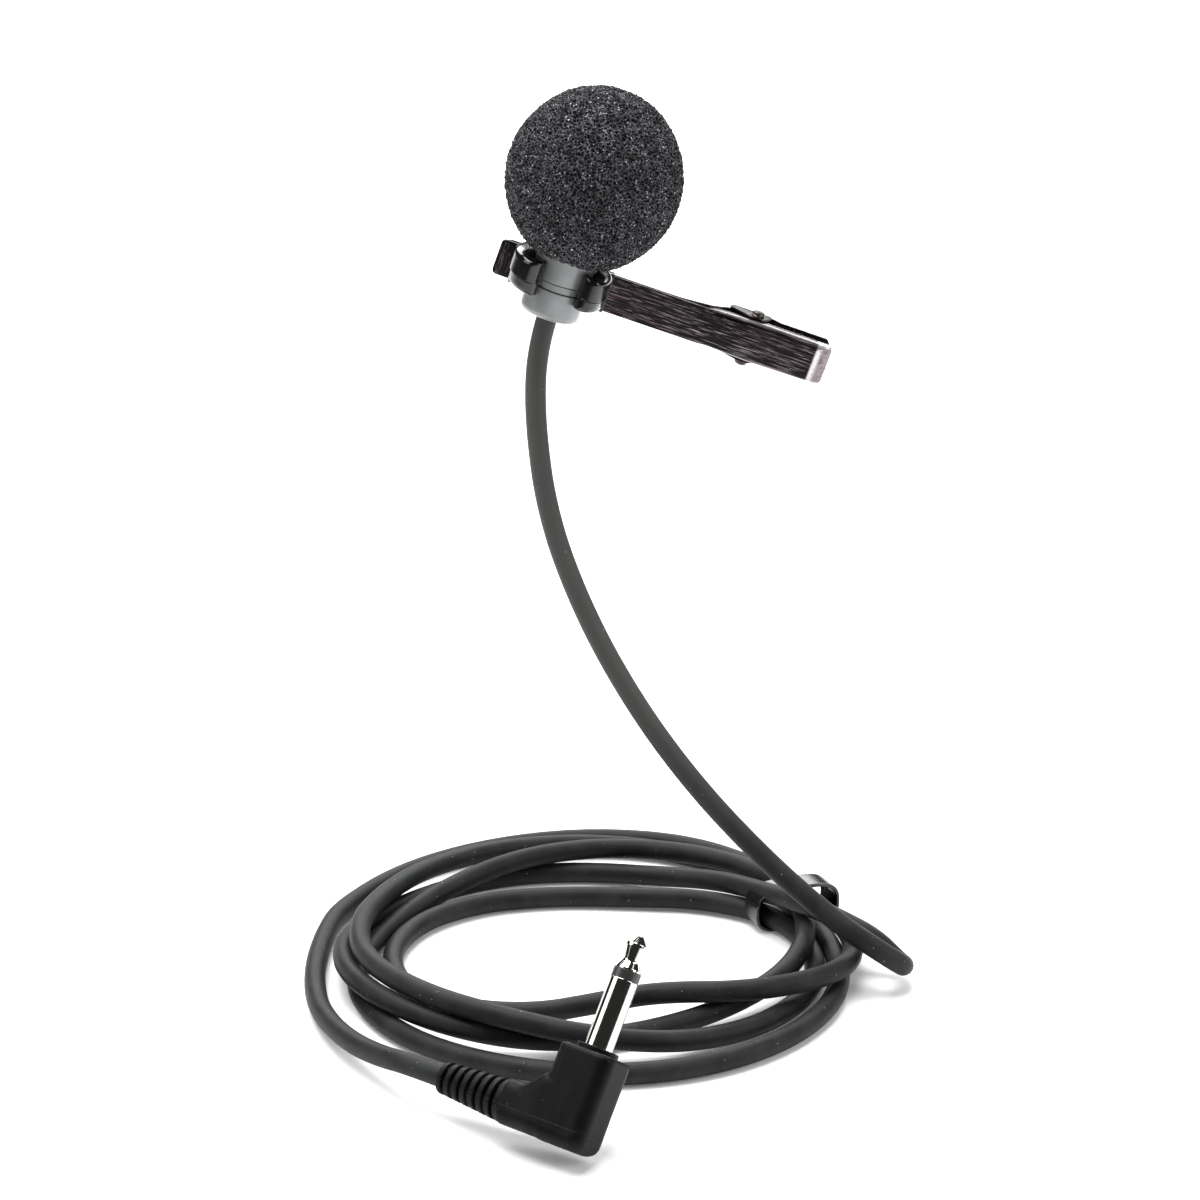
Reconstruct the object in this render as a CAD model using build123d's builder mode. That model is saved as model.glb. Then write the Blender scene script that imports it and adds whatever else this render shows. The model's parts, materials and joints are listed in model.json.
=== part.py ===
"""Lavalier microphone with foam windscreen, spring clip and coiled lead with a right-angle plug.

Millimetres, +Z up.  The origin is the grip of the clip's jaws, where the lapel is held.  The head
(microphone and clip) leans by `lean` in the X-Z plane; the lead hangs from it to the surface below,
lies there in a loose tied coil and ends in the plug.
"""
from math import cos, pi, radians, sin, tan
import os

from build123d import *

os.makedirs("parts", exist_ok=True)

# ---------------------------------------------------------------- driving dimensions
lean = 18.6                   # clip slopes down by this angle, microphone leans by it
running_gap = 0.05            # radial clearance of parts that turn or slide
seat_gap = 0.03               # clearance of parts that are fitted once
surface_drop = 89.6           # grip height above the surface the lead lies on

# microphone, measured along its own axis from the clip's centre line
body_radius = 3.95
body_wall = 0.6
cap_bottom = -5.0
cap_floor = 2.0
cap_edge = 1.0
band_bottom = -1.1
band_top = 0.0
band_inset = 0.13
neck_top = 1.2
neck_wall = 0.5
housing_top = 8.2
grille_top = 9.6
grille_wall = 0.35
grille_edge = 0.49
grille_hole = 0.36
grille_pitch = 1.05
grille_rows = 5
grommet_radius = 1.9
grommet_height = 1.4
capsule_radius = 3.0
capsule_bottom = 4.9
capsule_height = 2.7
capsule_wall = 0.2
capsule_port = 1.0
board_thickness = 0.45
backplate_thickness = 0.2
dust_thickness = 0.4
wire_radius = 0.35
wire_spacing = 1.4

# windscreen
foam_radius = 11.6
foam_half_height = 12.1
foam_centre = 14.0
foam_socket_gap = 0.4
foam_clearance = 0.3

# lead
cord_radius = 1.4

# clip, x along the arm from the microphone's axis, y away from the microphone
grip_to_mic = 7.7
arm_thickness = 0.55
holder_wall = 1.05
arm_tip = -8.5
arm_end = 37.9
arm_tip_half = 2.45
arm_holder_half = 2.5
arm_pivot_half = 2.8
arm_end_half = 2.7
flange_start = 20.5
flange_wall = 0.5
flange_depth = 1.4
pivot_along = 27.0
pivot_behind = 1.75           # pin centre behind the arm's back face
pin_radius = 0.6
pin_head_radius = 1.0
pin_head_height = 0.45
pin_head_taper = 28.0
ear_wall = 0.45
ear_gap = 0.1
ear_top_half = 1.35           # half width of the jaw's ears at their front edge
ear_front = 0.35              # ears stop this far behind the arm's front face
jaw_rise_lead = 4.0           # the jaw rises towards the lever this far before the folded edges
lever_setback = 1.4           # the lever is level from this far before the pin
ear_lead = 5.0                # ears' length from the pin towards the microphone
ear_trail = 2.3               # and towards the handles
lug_foot_half = 2.4           # arm's own pivot lugs, at the foot and at the top
lug_top_half = 1.1
lug_rise = 1.05               # past the pin's centre
jaw_thickness = 0.5
jaw_half = 2.3
lever_half = 2.75
lever_behind = 3.65           # lever's inner face behind the arm's back face
bow_behind = 1.0              # jaw's inner face behind the arm's back face, along its bowed length
tooth_pitch = 0.9
tooth_depth = 0.22
tooth_count = 5
spring_wire = 0.25
spring_radius = 1.1
spring_turns = 4
spring_pitch = 0.62
spring_leg = 6.5

# holder
clamp_wall = 2.3
holder_half = 2.55
holder_round = 0.7
mouth_half_angle = 33.0
sleeve_half_length = 7.5
sleeve_wall = 0.4
sleeve_back = 0.6

# coil, on the surface
coil_centre = (11.5, -28.5)
coil_outer = 37.4
coil_inner = (26.0, 15.6)
coil_height = 5.6
coil_edge = 2.2
tie_angle = 24.0
tie_radius = 29.5
tie_inside = (12.2, 4.8)
tie_width = 4.4
tie_thickness = 0.4
tie_slot_gap = 0.3

# plug, from the corner where its two limbs cross
plug_corner = (8.9, -81.5, 4.4)       # the last is its height above the surface
plug_cord_dir = (0.825, -0.566, -0.042)
plug_pin_dir = (0.356, 0.4586, 0.815)
limb_width = 7.6
limb_depth = 6.6
limb_below = 2.9
limb_above = 9.0
side_height = 5.6
side_depth = 5.8
side_length = 8.8
plug_round = 1.6
collar_radius = 2.6
collar_height = 0.6
sleeve_radius = 1.75
sleeve_length = 8.6
insulator_length = 1.1
tip_length = 4.5
rod_radius = 0.7
rod_sleeve_radius = 1.1
shank_depth = 6.0
shank_radius = 1.5            # the sleeve's part inside the moulding
tip_edge = 0.35
tip_waist = (1.25, 0.68)      # height above the tip's foot, share of the sleeve's radius
tip_flare = (2.2, 0.84)
tip_flare_top = 2.5
tip_point = 0.25
lug_half_spacing = 1.2
lug_size = (2.2, 0.5, 3.0)
relief_length = 9.6
relief_radius_body = 2.7
relief_radius_cord = 2.05
rib_count = 7
rib_depth = 0.35
rib_gap = 0.55

# lead's route from the microphone to the coil, and from the coil to the plug
exit_run = 5.2
drop_points = [                # x, y and the share of the fall from the exit to the surface
    (3.9, -9.6, 0.108),
    (5.6, -14.6, 0.262),
    (10.4, -20.2, 0.409),
    (17.0, -25.2, 0.548),
    (24.8, -29.4, 0.672),
    (33.6, -33.0, 0.782),
    (42.4, -36.6, 0.872),
    (49.2, -38.9, 0.923),
    (51.6, -33.6, 0.965),
    (49.0, -27.8, 0.974),
    (44.8, -24.2, 0.962),
]
tail_points = [                # x, y and the height above the surface
    (-23.9, -37.5, 1.5),
    (-23.5, -43.6, 1.6),
    (-21.9, -50.4, 2.1),
    (-18.6, -57.4, 2.9),
    (-14.6, -63.3, 4.0),
]
tail_run = 5.5

# ---------------------------------------------------------------- frames
along = Vector(cos(radians(lean)), 0, -sin(radians(lean)))
mic_up = Vector(sin(radians(lean)), 0, cos(radians(lean)))
holder_radius = body_radius + running_gap + clamp_wall
arm_front = body_radius + holder_wall
arm_back = arm_front + arm_thickness
head = along * grip_to_mic - Vector(0, arm_back, 0)
mic_axis = Axis(head, mic_up)
across = Plane(origin=head, x_dir=along, z_dir=mic_up)
facing = Plane(origin=head, x_dir=along, z_dir=(0, -1, 0))
pivot_depth = arm_back + pivot_behind
pivot_point = head + along * pivot_along + Vector(0, pivot_depth, 0)
surface = -surface_drop
plug_origin = Vector(plug_corner[0], plug_corner[1], surface + plug_corner[2])
plug_plane = Plane(origin=plug_origin, x_dir=plug_cord_dir, z_dir=plug_pin_dir)
plug_axis = Axis(plug_plane.origin, plug_plane.z_dir)
cord_side_axis = Axis(plug_plane.origin, (plug_plane.x_dir * -1))
plug_face = Plane(origin=plug_plane.origin, x_dir=plug_plane.x_dir, z_dir=plug_plane.y_dir * -1)


def save(part, name):
    """Label a finished piece and write it to its own file."""
    part.label = name
    export_step(part, f"parts/{name}.step")


def ring(inner, outer, low, high):
    """Ring about the microphone's axis between two heights, or a disc if inner is nought."""
    with BuildPart() as made:
        with BuildSketch(across.offset(low)):
            Circle(outer)
            if inner > 0:
                Circle(inner, mode=Mode.SUBTRACT)
        extrude(amount=high - low)
    return made.part


def corner_radii(points):
    """Largest arc at each corner of a route: 0.45 of the shorter run over tan(half the turn)."""
    radii = []
    for before, corner, after in zip(points, points[1:], points[2:]):
        run_in = Vector(*corner) - Vector(*before)
        run_out = Vector(*after) - Vector(*corner)
        turn = radians(run_in.get_angle(run_out))
        radii.append(0.45 * min(run_in.length, run_out.length) / tan(turn / 2))
    return radii


def cord_tube(points, name):
    """Plain round tube of straight runs and tangent arcs along a route."""
    radii = corner_radii(points)
    with BuildPart() as tube:
        with BuildLine() as path:
            FilletPolyline(*points, radius=radii)
        with BuildSketch(Plane(origin=path.line @ 0, z_dir=path.line % 0)):
            Circle(cord_radius)
        sweep()
    length = path.wires()[0].length
    section = pi * cord_radius ** 2
    print(name, "radii", [round(r, 1) for r in radii])
    print(name, "length", round(length, 1), "volume", round(tube.part.volume, 1),
          "section x length", round(section * length, 1))
    save(tube.part, name)


# ---------------------------------------------------------------- microphone
inner_radius = body_radius - body_wall
neck_radius = inner_radius - seat_gap
cord_hole = cord_radius + running_gap
grommet_low = cap_bottom + body_wall
grommet_high = grommet_low + grommet_height

with BuildPart() as end_cap:
    with BuildSketch(across.offset(cap_bottom)):
        Circle(body_radius)
    extrude(amount=band_bottom - cap_bottom)
    fillet(end_cap.faces().sort_by(mic_axis)[0].edges(), cap_edge)
    with BuildSketch(across.offset(band_bottom)):
        Circle(neck_radius)
    extrude(amount=neck_top - band_bottom)
    with BuildSketch(across.offset(cap_bottom + cap_floor)):
        Circle(neck_radius - neck_wall)
    extrude(amount=neck_top - cap_bottom - cap_floor, mode=Mode.SUBTRACT)
    with BuildSketch(across.offset(cap_bottom)):
        Circle(cord_hole)
    extrude(amount=cap_floor, mode=Mode.SUBTRACT)
    with BuildSketch(across.offset(grommet_low)):
        Circle(grommet_radius + seat_gap)
    extrude(amount=cap_floor, mode=Mode.SUBTRACT)
save(end_cap.part, "end_cap")

save(ring(inner_radius, body_radius - band_inset, band_bottom, band_top), "trim_band")
save(ring(inner_radius, body_radius, band_top, housing_top), "capsule_housing")
save(ring(wire_spacing / 2 + wire_radius + seat_gap, grommet_radius, grommet_low, grommet_high),
     "cord_grommet")

with BuildPart() as grille:
    with BuildSketch(across.offset(housing_top)):
        Circle(body_radius)
    extrude(amount=grille_top - housing_top)
    fillet(grille.faces().sort_by(mic_axis)[-1].edges(), grille_edge)
    with BuildSketch(across.offset(housing_top)):
        Circle(body_radius - grille_wall)
    extrude(amount=grille_top - housing_top - grille_wall, mode=Mode.SUBTRACT)
    with BuildSketch(across.offset(grille_top - grille_wall)):
        with HexLocations(grille_pitch / 2, grille_rows, grille_rows):
            Circle(grille_hole)
    extrude(amount=grille_wall, mode=Mode.SUBTRACT)
save(grille.part, "grille_cap")

dust_top = grille_top - grille_wall
save(ring(0, body_radius - grille_wall - seat_gap, dust_top - dust_thickness, dust_top),
     "dust_screen")

capsule_top = capsule_bottom + capsule_height
save(ring(capsule_radius + seat_gap, inner_radius - seat_gap, capsule_bottom, capsule_top),
     "capsule_boot")

with BuildPart() as can:
    with BuildSketch(across.offset(capsule_bottom)):
        Circle(capsule_radius)
    extrude(amount=capsule_height)
    with BuildSketch(across.offset(capsule_bottom)):
        Circle(capsule_radius - capsule_wall)
    extrude(amount=capsule_height - capsule_wall, mode=Mode.SUBTRACT)
    with BuildSketch(across.offset(capsule_bottom)):
        Circle(capsule_port)
    extrude(amount=capsule_height, mode=Mode.SUBTRACT)
save(can.part, "capsule_can")

can_bore = capsule_radius - capsule_wall - seat_gap
board_top = capsule_bottom + board_thickness
plate_top = capsule_top - 3 * capsule_wall
plate_low = plate_top - backplate_thickness
save(ring(0, can_bore, capsule_bottom, board_top), "capsule_board")
save(ring(can_bore - body_wall, can_bore, board_top, plate_low), "backplate_spacer")
save(ring(0, can_bore, plate_low, plate_top), "electret_backplate")
save(ring(can_bore - body_wall, can_bore, plate_top, capsule_top - capsule_wall), "diaphragm_ring")

with BuildPart() as wires:
    with BuildSketch(across.offset(grommet_low)):
        with GridLocations(wire_spacing, 0, 2, 1):
            Circle(wire_radius)
    extrude(amount=capsule_bottom - grommet_low)
save(wires.part, "signal_wires")

socket_top = grille_top + foam_socket_gap
socket_radius = body_radius + running_gap
foam_rim = arm_holder_half + seat_gap + sleeve_wall + foam_clearance
with BuildPart() as foam:
    with BuildSketch(facing):
        with Locations((0, foam_centre)):
            Ellipse(foam_radius, foam_half_height)
        with Locations((-foam_radius, foam_centre)):
            Rectangle(2 * foam_radius, 3 * foam_half_height, mode=Mode.SUBTRACT)
        with Locations((socket_radius / 2, socket_top - foam_half_height / 2)):
            Rectangle(socket_radius, foam_half_height, mode=Mode.SUBTRACT)
        with Locations((0, foam_rim - foam_half_height)):
            Rectangle(2 * foam_radius, 2 * foam_half_height, mode=Mode.SUBTRACT)
    revolve(axis=mic_axis)
save(foam.part, "foam_windscreen")

# ---------------------------------------------------------------- holder
with BuildPart() as holder:
    with BuildSketch(across):
        Circle(holder_radius)
        with Locations((0, arm_back + sleeve_back)):
            Rectangle(4 * holder_radius, 2 * (arm_back + sleeve_back - arm_front), mode=Mode.SUBTRACT)
    extrude(amount=holder_half, both=True)
    fillet(holder.edges().filter_by(GeomType.CIRCLE), holder_round)
    with BuildSketch(across):
        with Locations((0, (arm_front - holder_wall + arm_back + sleeve_back) / 2)):
            Rectangle(2 * sleeve_half_length, arm_thickness + sleeve_back + holder_wall)
    extrude(amount=arm_holder_half + seat_gap + sleeve_wall, both=True)
    with BuildSketch(across):
        with Locations((0, (arm_front + arm_back) / 2)):
            Rectangle(4 * sleeve_half_length, arm_thickness + 2 * seat_gap)
    extrude(amount=arm_holder_half + seat_gap, both=True, mode=Mode.SUBTRACT)
    with BuildSketch(across):
        Circle(body_radius + running_gap)
        with BuildLine():
            reach = 2 * holder_radius
            mouth = reach * tan(radians(mouth_half_angle))
            Polyline((0, 0), (-mouth, -reach), (mouth, -reach), close=True)
        make_face()
    extrude(amount=2 * holder_half, both=True, mode=Mode.SUBTRACT)
save(holder.part, "mic_holder")

# ---------------------------------------------------------------- clip
flange_back = arm_back + flange_depth
arm_outline = [
    (arm_tip, arm_tip_half),
    (sleeve_half_length, arm_holder_half),
    (flange_start, arm_holder_half),
    (pivot_along, arm_pivot_half),
    (arm_end, arm_end_half),
]
tray_outline = [
    (flange_start - 2 * flange_depth, arm_holder_half - flange_wall),
    (pivot_along, arm_pivot_half - flange_wall),
    (arm_end - flange_wall, arm_end_half - flange_wall),
]


def outline_points(half):
    """Closed outline of a strip from its half widths."""
    return half + [(x, -w) for x, w in reversed(half)]


with BuildPart() as arm:
    with BuildSketch(across):
        with BuildLine():
            Polyline((arm_tip, arm_front), (arm_end, arm_front), (arm_end, flange_back),
                     (flange_start, flange_back), (flange_start - flange_depth, arm_back),
                     (arm_tip, arm_back), close=True)
        make_face()
    extrude(amount=2 * arm_pivot_half, both=True)
    with BuildSketch(facing):
        with BuildLine():
            Polyline(*outline_points(arm_outline), close=True)
        make_face()
    extrude(amount=-2 * flange_back, mode=Mode.INTERSECT)
    fillet(arm.edges().filter_by(Axis((0, 0, 0), mic_up)).group_by(Axis.Y)[0]
           .sort_by(Axis.X)[-1], flange_depth * 0.8)
    with BuildSketch(facing.offset(-arm_back)):
        with BuildLine():
            Polyline(*outline_points(tray_outline), close=True)
        make_face()
    extrude(amount=-2 * flange_depth, mode=Mode.SUBTRACT)
    for side in (-1, 1):
        with BuildSketch(across.offset(side * (arm_pivot_half - ear_gap - flange_wall / 2))):
            with BuildLine():
                Polyline((pivot_along - lug_foot_half, arm_back), (pivot_along + lug_foot_half, arm_back),
                         (pivot_along + lug_top_half, pivot_depth + lug_rise),
                         (pivot_along - lug_top_half, pivot_depth + lug_rise), close=True)
            make_face()
        extrude(amount=flange_wall / 2, both=True)
    with BuildSketch(across):
        with Locations((pivot_along, pivot_depth)):
            Circle(pin_radius)
    extrude(amount=2 * arm_pivot_half, both=True, mode=Mode.SUBTRACT)
save(arm.part, "clip_arm")

bow_start = -sleeve_half_length - jaw_thickness / 2
bow_end = sleeve_half_length + 2 * jaw_thickness
jaw_low_end = flange_start - jaw_rise_lead    # where the jaw starts to rise towards the lever
lever_start = pivot_along - lever_setback
lever_end = arm_end - 0.2
lever_face = arm_back + lever_behind
jaw_inner = [
    (arm_tip + running_gap, arm_back + running_gap),
    (arm_tip + jaw_thickness, arm_back + running_gap),
    (bow_start, arm_back + bow_behind),
    (bow_end, arm_back + bow_behind),
    (jaw_low_end, arm_back + sleeve_back),
    (lever_start, lever_face),
    (lever_end, lever_face),
]
jaw_outer = [
    (lever_end, lever_face + jaw_thickness),
    (lever_start - 0.6 * jaw_thickness, lever_face + jaw_thickness),
    (jaw_low_end - jaw_thickness / 5, arm_back + sleeve_back + jaw_thickness),
    (bow_end, arm_back + bow_behind + jaw_thickness),
    (bow_start - jaw_thickness / 2, arm_back + bow_behind + jaw_thickness),
    (arm_tip + running_gap, arm_back + bow_behind),
]
ear_inner = arm_pivot_half + ear_gap
ear_outer = ear_inner + ear_wall
jaw_outline = [
    (arm_tip, jaw_half),
    (jaw_low_end, jaw_half),
    (pivot_along - 0.8 * ear_lead, ear_outer),
    (pivot_along + ear_trail, ear_outer),
    (pivot_along + 1.6 * ear_trail, lever_half),
    (arm_end, lever_half),
]

with BuildPart() as jaw:
    with BuildSketch(across):
        with BuildLine():
            Polyline(*jaw_inner, *jaw_outer, close=True)
        make_face()
    extrude(amount=ear_outer, both=True)
    with BuildSketch(facing):
        with BuildLine():
            Polyline(*outline_points(jaw_outline), close=True)
        make_face()
    extrude(amount=-2 * (arm_back + lever_behind), mode=Mode.INTERSECT)
    for side in (-1, 1):
        with BuildSketch(across.offset(side * (ear_inner + ear_wall / 2))):
            with BuildLine():
                Polyline((pivot_along - ear_lead / 2, arm_back + lever_behind),
                         (pivot_along - ear_lead, arm_back + pivot_behind),
                         (pivot_along - ear_top_half, arm_front + ear_front),
                         (pivot_along + ear_top_half, arm_front + ear_front),
                         (pivot_along + ear_trail, arm_back + pivot_behind),
                         (pivot_along + ear_trail, arm_back + lever_behind + jaw_thickness / 2),
                         close=True)
            make_face()
        extrude(amount=ear_wall / 2, both=True)
    with BuildSketch(across):
        with Locations((pivot_along, pivot_depth)):
            Circle(pin_radius + running_gap)
    extrude(amount=2 * ear_outer, both=True, mode=Mode.SUBTRACT)
    with BuildSketch(facing.offset(-arm_back)):
        with Locations((arm_tip, 0)):
            with GridLocations(0, tooth_pitch, 1, tooth_count):
                RegularPolygon(tooth_depth, 4)
    extrude(amount=-(bow_behind + jaw_thickness), mode=Mode.SUBTRACT)
save(jaw.part, "clip_jaw")

pin_half = ear_outer + running_gap
with BuildPart() as pin:
    with BuildSketch(across.offset(-pin_half)):
        with Locations((pivot_along, pivot_depth)):
            Circle(pin_radius)
    extrude(amount=2 * pin_half)
    for side in (-1, 1):
        with BuildSketch(across.offset(side * pin_half)):
            with Locations((pivot_along, pivot_depth)):
                Circle(pin_head_radius)
        extrude(amount=side * pin_head_height, taper=pin_head_taper)
save(pin.part, "pivot_pin")

spring_half = spring_turns * spring_pitch / 2
with BuildPart() as spring:
    with BuildLine() as coil_line:
        Helix(pitch=spring_pitch, height=2 * spring_half, radius=spring_radius,
              center=(pivot_point - mic_up * spring_half), direction=mic_up)
    with BuildSketch(Plane(origin=coil_line.line @ 0, z_dir=coil_line.line % 0)):
        Circle(spring_wire)
    sweep(is_frenet=True)
    for side, height in ((-1, -spring_half), (1, spring_half)):
        with BuildSketch(Plane(origin=(pivot_point + mic_up * height
                                       + Vector(0, side * spring_radius, 0)),
                               z_dir=along)):
            Circle(spring_wire)
        extrude(amount=spring_leg)
save(spring.part, "torsion_spring")

# ---------------------------------------------------------------- coil and tie
coil_floor = Plane.XY.offset(surface)
tie_plane = Plane(origin=(coil_centre[0] + tie_radius * cos(radians(tie_angle)),
                          coil_centre[1] + tie_radius * sin(radians(tie_angle)), surface),
                  x_dir=(cos(radians(tie_angle)), sin(radians(tie_angle)), 0), z_dir=(0, 0, 1))
tie_rise = tie_thickness + tie_slot_gap / 2 + tie_inside[1] / 2

with BuildPart() as coil:
    with BuildSketch(coil_floor):
        with Locations(coil_centre):
            Circle(coil_outer)
            Ellipse(*coil_inner, mode=Mode.SUBTRACT)
    extrude(amount=coil_height)
    fillet(coil.edges().group_by(Axis.Z)[-1], coil_edge)
    with BuildSketch(tie_plane):
        Rectangle(coil_outer - coil_inner[1], tie_width + 2 * tie_slot_gap)
    extrude(amount=coil_height, mode=Mode.SUBTRACT)
    with BuildSketch(tie_plane.offset(tie_rise - tie_inside[1] / 2)):
        Rectangle(tie_inside[0], tie_width + 4 * tie_slot_gap)
    extrude(amount=tie_inside[1])
save(coil.part, "cord_coil")

with BuildPart() as tie:
    loop_gap = tie_slot_gap / 2
    loop_height = tie_inside[1] + 2 * (loop_gap + tie_thickness)
    with BuildSketch(tie_plane.offset(tie_rise - loop_height / 2)):
        Rectangle(tie_inside[0] + 2 * (loop_gap + tie_thickness), tie_width)
    extrude(amount=loop_height)
    with BuildSketch(tie_plane.offset(tie_rise - tie_inside[1] / 2 - loop_gap)):
        Rectangle(tie_inside[0] + 2 * loop_gap, 2 * tie_width)
    extrude(amount=tie_inside[1] + 2 * loop_gap, mode=Mode.SUBTRACT)
save(tie.part, "twist_tie")

# ---------------------------------------------------------------- plug
shank_low = limb_above - shank_depth
sleeve_low = limb_above + collar_height
sleeve_high = sleeve_low + sleeve_length
tip_low = sleeve_high + insulator_length
lug_low = shank_low - lug_size[2]

with BuildPart() as lugs:
    for side in (-1, 1):
        with BuildSketch(plug_plane.offset(lug_low)):
            with Locations((0, side * lug_half_spacing)):
                Rectangle(lug_size[0], lug_size[1])
        extrude(amount=lug_size[2])
save(lugs.part, "solder_lugs")

with BuildPart() as plug_body:
    with BuildSketch(plug_plane.offset(-limb_below)):
        RectangleRounded(limb_width, limb_depth, plug_round)
    extrude(amount=limb_above + limb_below)
    with BuildSketch(Plane(origin=plug_plane.origin, x_dir=plug_plane.y_dir,
                           z_dir=plug_plane.x_dir * -1)):
        RectangleRounded(side_depth, side_height, plug_round)
    extrude(amount=side_length)
    fillet(plug_body.faces().sort_by(plug_axis)[0].edges(), plug_round * 0.8)
    with BuildSketch(plug_plane.offset(shank_low)):
        Circle(shank_radius)
    extrude(amount=limb_above, mode=Mode.SUBTRACT)
    for side in (-1, 1):
        with BuildSketch(plug_plane.offset(lug_low)):
            with Locations((0, side * lug_half_spacing)):
                Rectangle(lug_size[0], lug_size[1])
        extrude(amount=lug_size[2], mode=Mode.SUBTRACT)
save(plug_body.part, "plug_body")

with BuildPart() as sleeve:
    with BuildSketch(plug_plane.offset(shank_low)):
        Circle(shank_radius)
    extrude(amount=sleeve_high - shank_low)
    with BuildSketch(plug_plane.offset(limb_above)):
        Circle(sleeve_radius)
    extrude(amount=sleeve_high - limb_above)
    with BuildSketch(plug_plane.offset(limb_above)):
        Circle(collar_radius)
    extrude(amount=collar_height)
    with BuildSketch(plug_plane.offset(shank_low)):
        Circle(rod_sleeve_radius)
    extrude(amount=sleeve_high - shank_low, mode=Mode.SUBTRACT)
save(sleeve.part, "plug_sleeve")

with BuildPart() as insulator:
    with BuildSketch(plug_plane.offset(shank_low)):
        Circle(rod_sleeve_radius)
    extrude(amount=sleeve_high - shank_low)
    with BuildSketch(plug_plane.offset(sleeve_high)):
        Circle(sleeve_radius)
    extrude(amount=insulator_length)
    with BuildSketch(plug_plane.offset(shank_low)):
        Circle(rod_radius)
    extrude(amount=tip_low - shank_low, mode=Mode.SUBTRACT)
save(insulator.part, "plug_insulator")

with BuildPart() as tip:
    with BuildSketch(plug_face):
        with BuildLine():
            Polyline((0, shank_low), (rod_radius, shank_low), (rod_radius, tip_low),
                     (sleeve_radius, tip_low), (sleeve_radius, tip_low + tip_edge),
                     (sleeve_radius * tip_waist[1], tip_low + tip_waist[0]),
                     (sleeve_radius * tip_flare[1], tip_low + tip_flare[0]),
                     (sleeve_radius * tip_flare[1], tip_low + tip_flare_top),
                     (sleeve_radius * tip_point, tip_low + tip_length),
                     (0, tip_low + tip_length), close=True)
        make_face()
    revolve(axis=plug_axis)
save(tip.part, "plug_tip")

relief_pitch = relief_length / (rib_count + 0.5)
with BuildPart() as relief:
    with BuildSketch(Plane(origin=plug_plane.origin, x_dir=plug_plane.x_dir * -1,
                           z_dir=plug_plane.y_dir)):
        with BuildLine():
            Polyline((side_length, 0), (side_length, relief_radius_body),
                     (side_length + relief_length, relief_radius_cord),
                     (side_length + relief_length, 0), close=True)
        make_face()
        for rib in range(rib_count):
            with Locations((side_length + (rib + 0.75) * relief_pitch, relief_radius_body)):
                Rectangle(rib_gap, 2 * (relief_radius_body - relief_radius_cord + rib_depth),
                          mode=Mode.SUBTRACT)
    revolve(axis=cord_side_axis)
save(relief.part, "strain_relief")

# ---------------------------------------------------------------- lead
cord_start = head + mic_up * grommet_low
first_point = head + mic_up * (grommet_low - exit_run)
fall = surface - first_point.Z
drop_route = [(x, y, first_point.Z + share * fall) for x, y, share in drop_points]
cord_tube([cord_start, first_point] + drop_route, "cord_drop")

tail_end = plug_plane.origin - plug_plane.x_dir * (side_length + relief_length)
before_end = tail_end - plug_plane.x_dir * tail_run
tail_route = [(x, y, surface + height) for x, y, height in tail_points]
cord_tube(tail_route + [before_end, tail_end], "cord_tail")
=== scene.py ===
"""Looks of a lavalier microphone: foam ball, capsule, clip, coiled lead and right-angle plug.

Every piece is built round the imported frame.  Sizes in the classes are millimetres in a local frame
(a Place), and meshes are in metres in the row frame.
"""

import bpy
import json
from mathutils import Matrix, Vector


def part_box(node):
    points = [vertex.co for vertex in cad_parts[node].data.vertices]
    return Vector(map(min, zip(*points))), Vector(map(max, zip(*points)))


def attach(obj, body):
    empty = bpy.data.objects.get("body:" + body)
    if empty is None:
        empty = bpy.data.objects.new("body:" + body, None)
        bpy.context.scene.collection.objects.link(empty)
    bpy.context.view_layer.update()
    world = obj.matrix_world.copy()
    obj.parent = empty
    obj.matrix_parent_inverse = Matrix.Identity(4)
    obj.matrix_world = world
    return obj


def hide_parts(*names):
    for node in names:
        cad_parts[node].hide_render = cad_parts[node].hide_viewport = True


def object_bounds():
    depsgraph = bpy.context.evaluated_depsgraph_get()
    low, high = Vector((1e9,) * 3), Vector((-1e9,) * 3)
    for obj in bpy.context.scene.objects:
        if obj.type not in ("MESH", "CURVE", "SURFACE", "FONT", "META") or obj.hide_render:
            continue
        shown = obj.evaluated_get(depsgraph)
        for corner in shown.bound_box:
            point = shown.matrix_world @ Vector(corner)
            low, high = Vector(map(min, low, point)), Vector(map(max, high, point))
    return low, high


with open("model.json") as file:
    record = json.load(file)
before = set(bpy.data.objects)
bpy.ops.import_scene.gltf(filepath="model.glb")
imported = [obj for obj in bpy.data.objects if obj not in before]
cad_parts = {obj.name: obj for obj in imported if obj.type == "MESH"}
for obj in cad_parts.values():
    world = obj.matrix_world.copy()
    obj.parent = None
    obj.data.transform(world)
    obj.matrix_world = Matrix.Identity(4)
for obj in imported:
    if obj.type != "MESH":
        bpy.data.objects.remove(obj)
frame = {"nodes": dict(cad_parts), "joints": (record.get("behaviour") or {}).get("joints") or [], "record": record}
CAD_BOX = [list(corner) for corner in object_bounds()]

import json
import logging
from dataclasses import dataclass
from enum import Enum
from itertools import product
from math import cos, pi, radians, sin
from typing import Any, Mapping, Optional, Sequence, Union

import bpy
import numpy as np
from mathutils import Matrix, Vector

Array = np.ndarray
Colour = tuple[float, float, float]
MM = 0.001
TAU = 2 * pi
log = logging.getLogger("lavalier")


class Body(Enum):
    """The bodies that pieces ride on."""

    CLIP = "clip"
    JAW = "jaw"
    CAPSULE = "capsule"
    WINDSCREEN = "windscreen"


class Side(Enum):
    """The two sides of a symmetrical part."""

    UPPER = 1
    LOWER = -1


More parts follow.
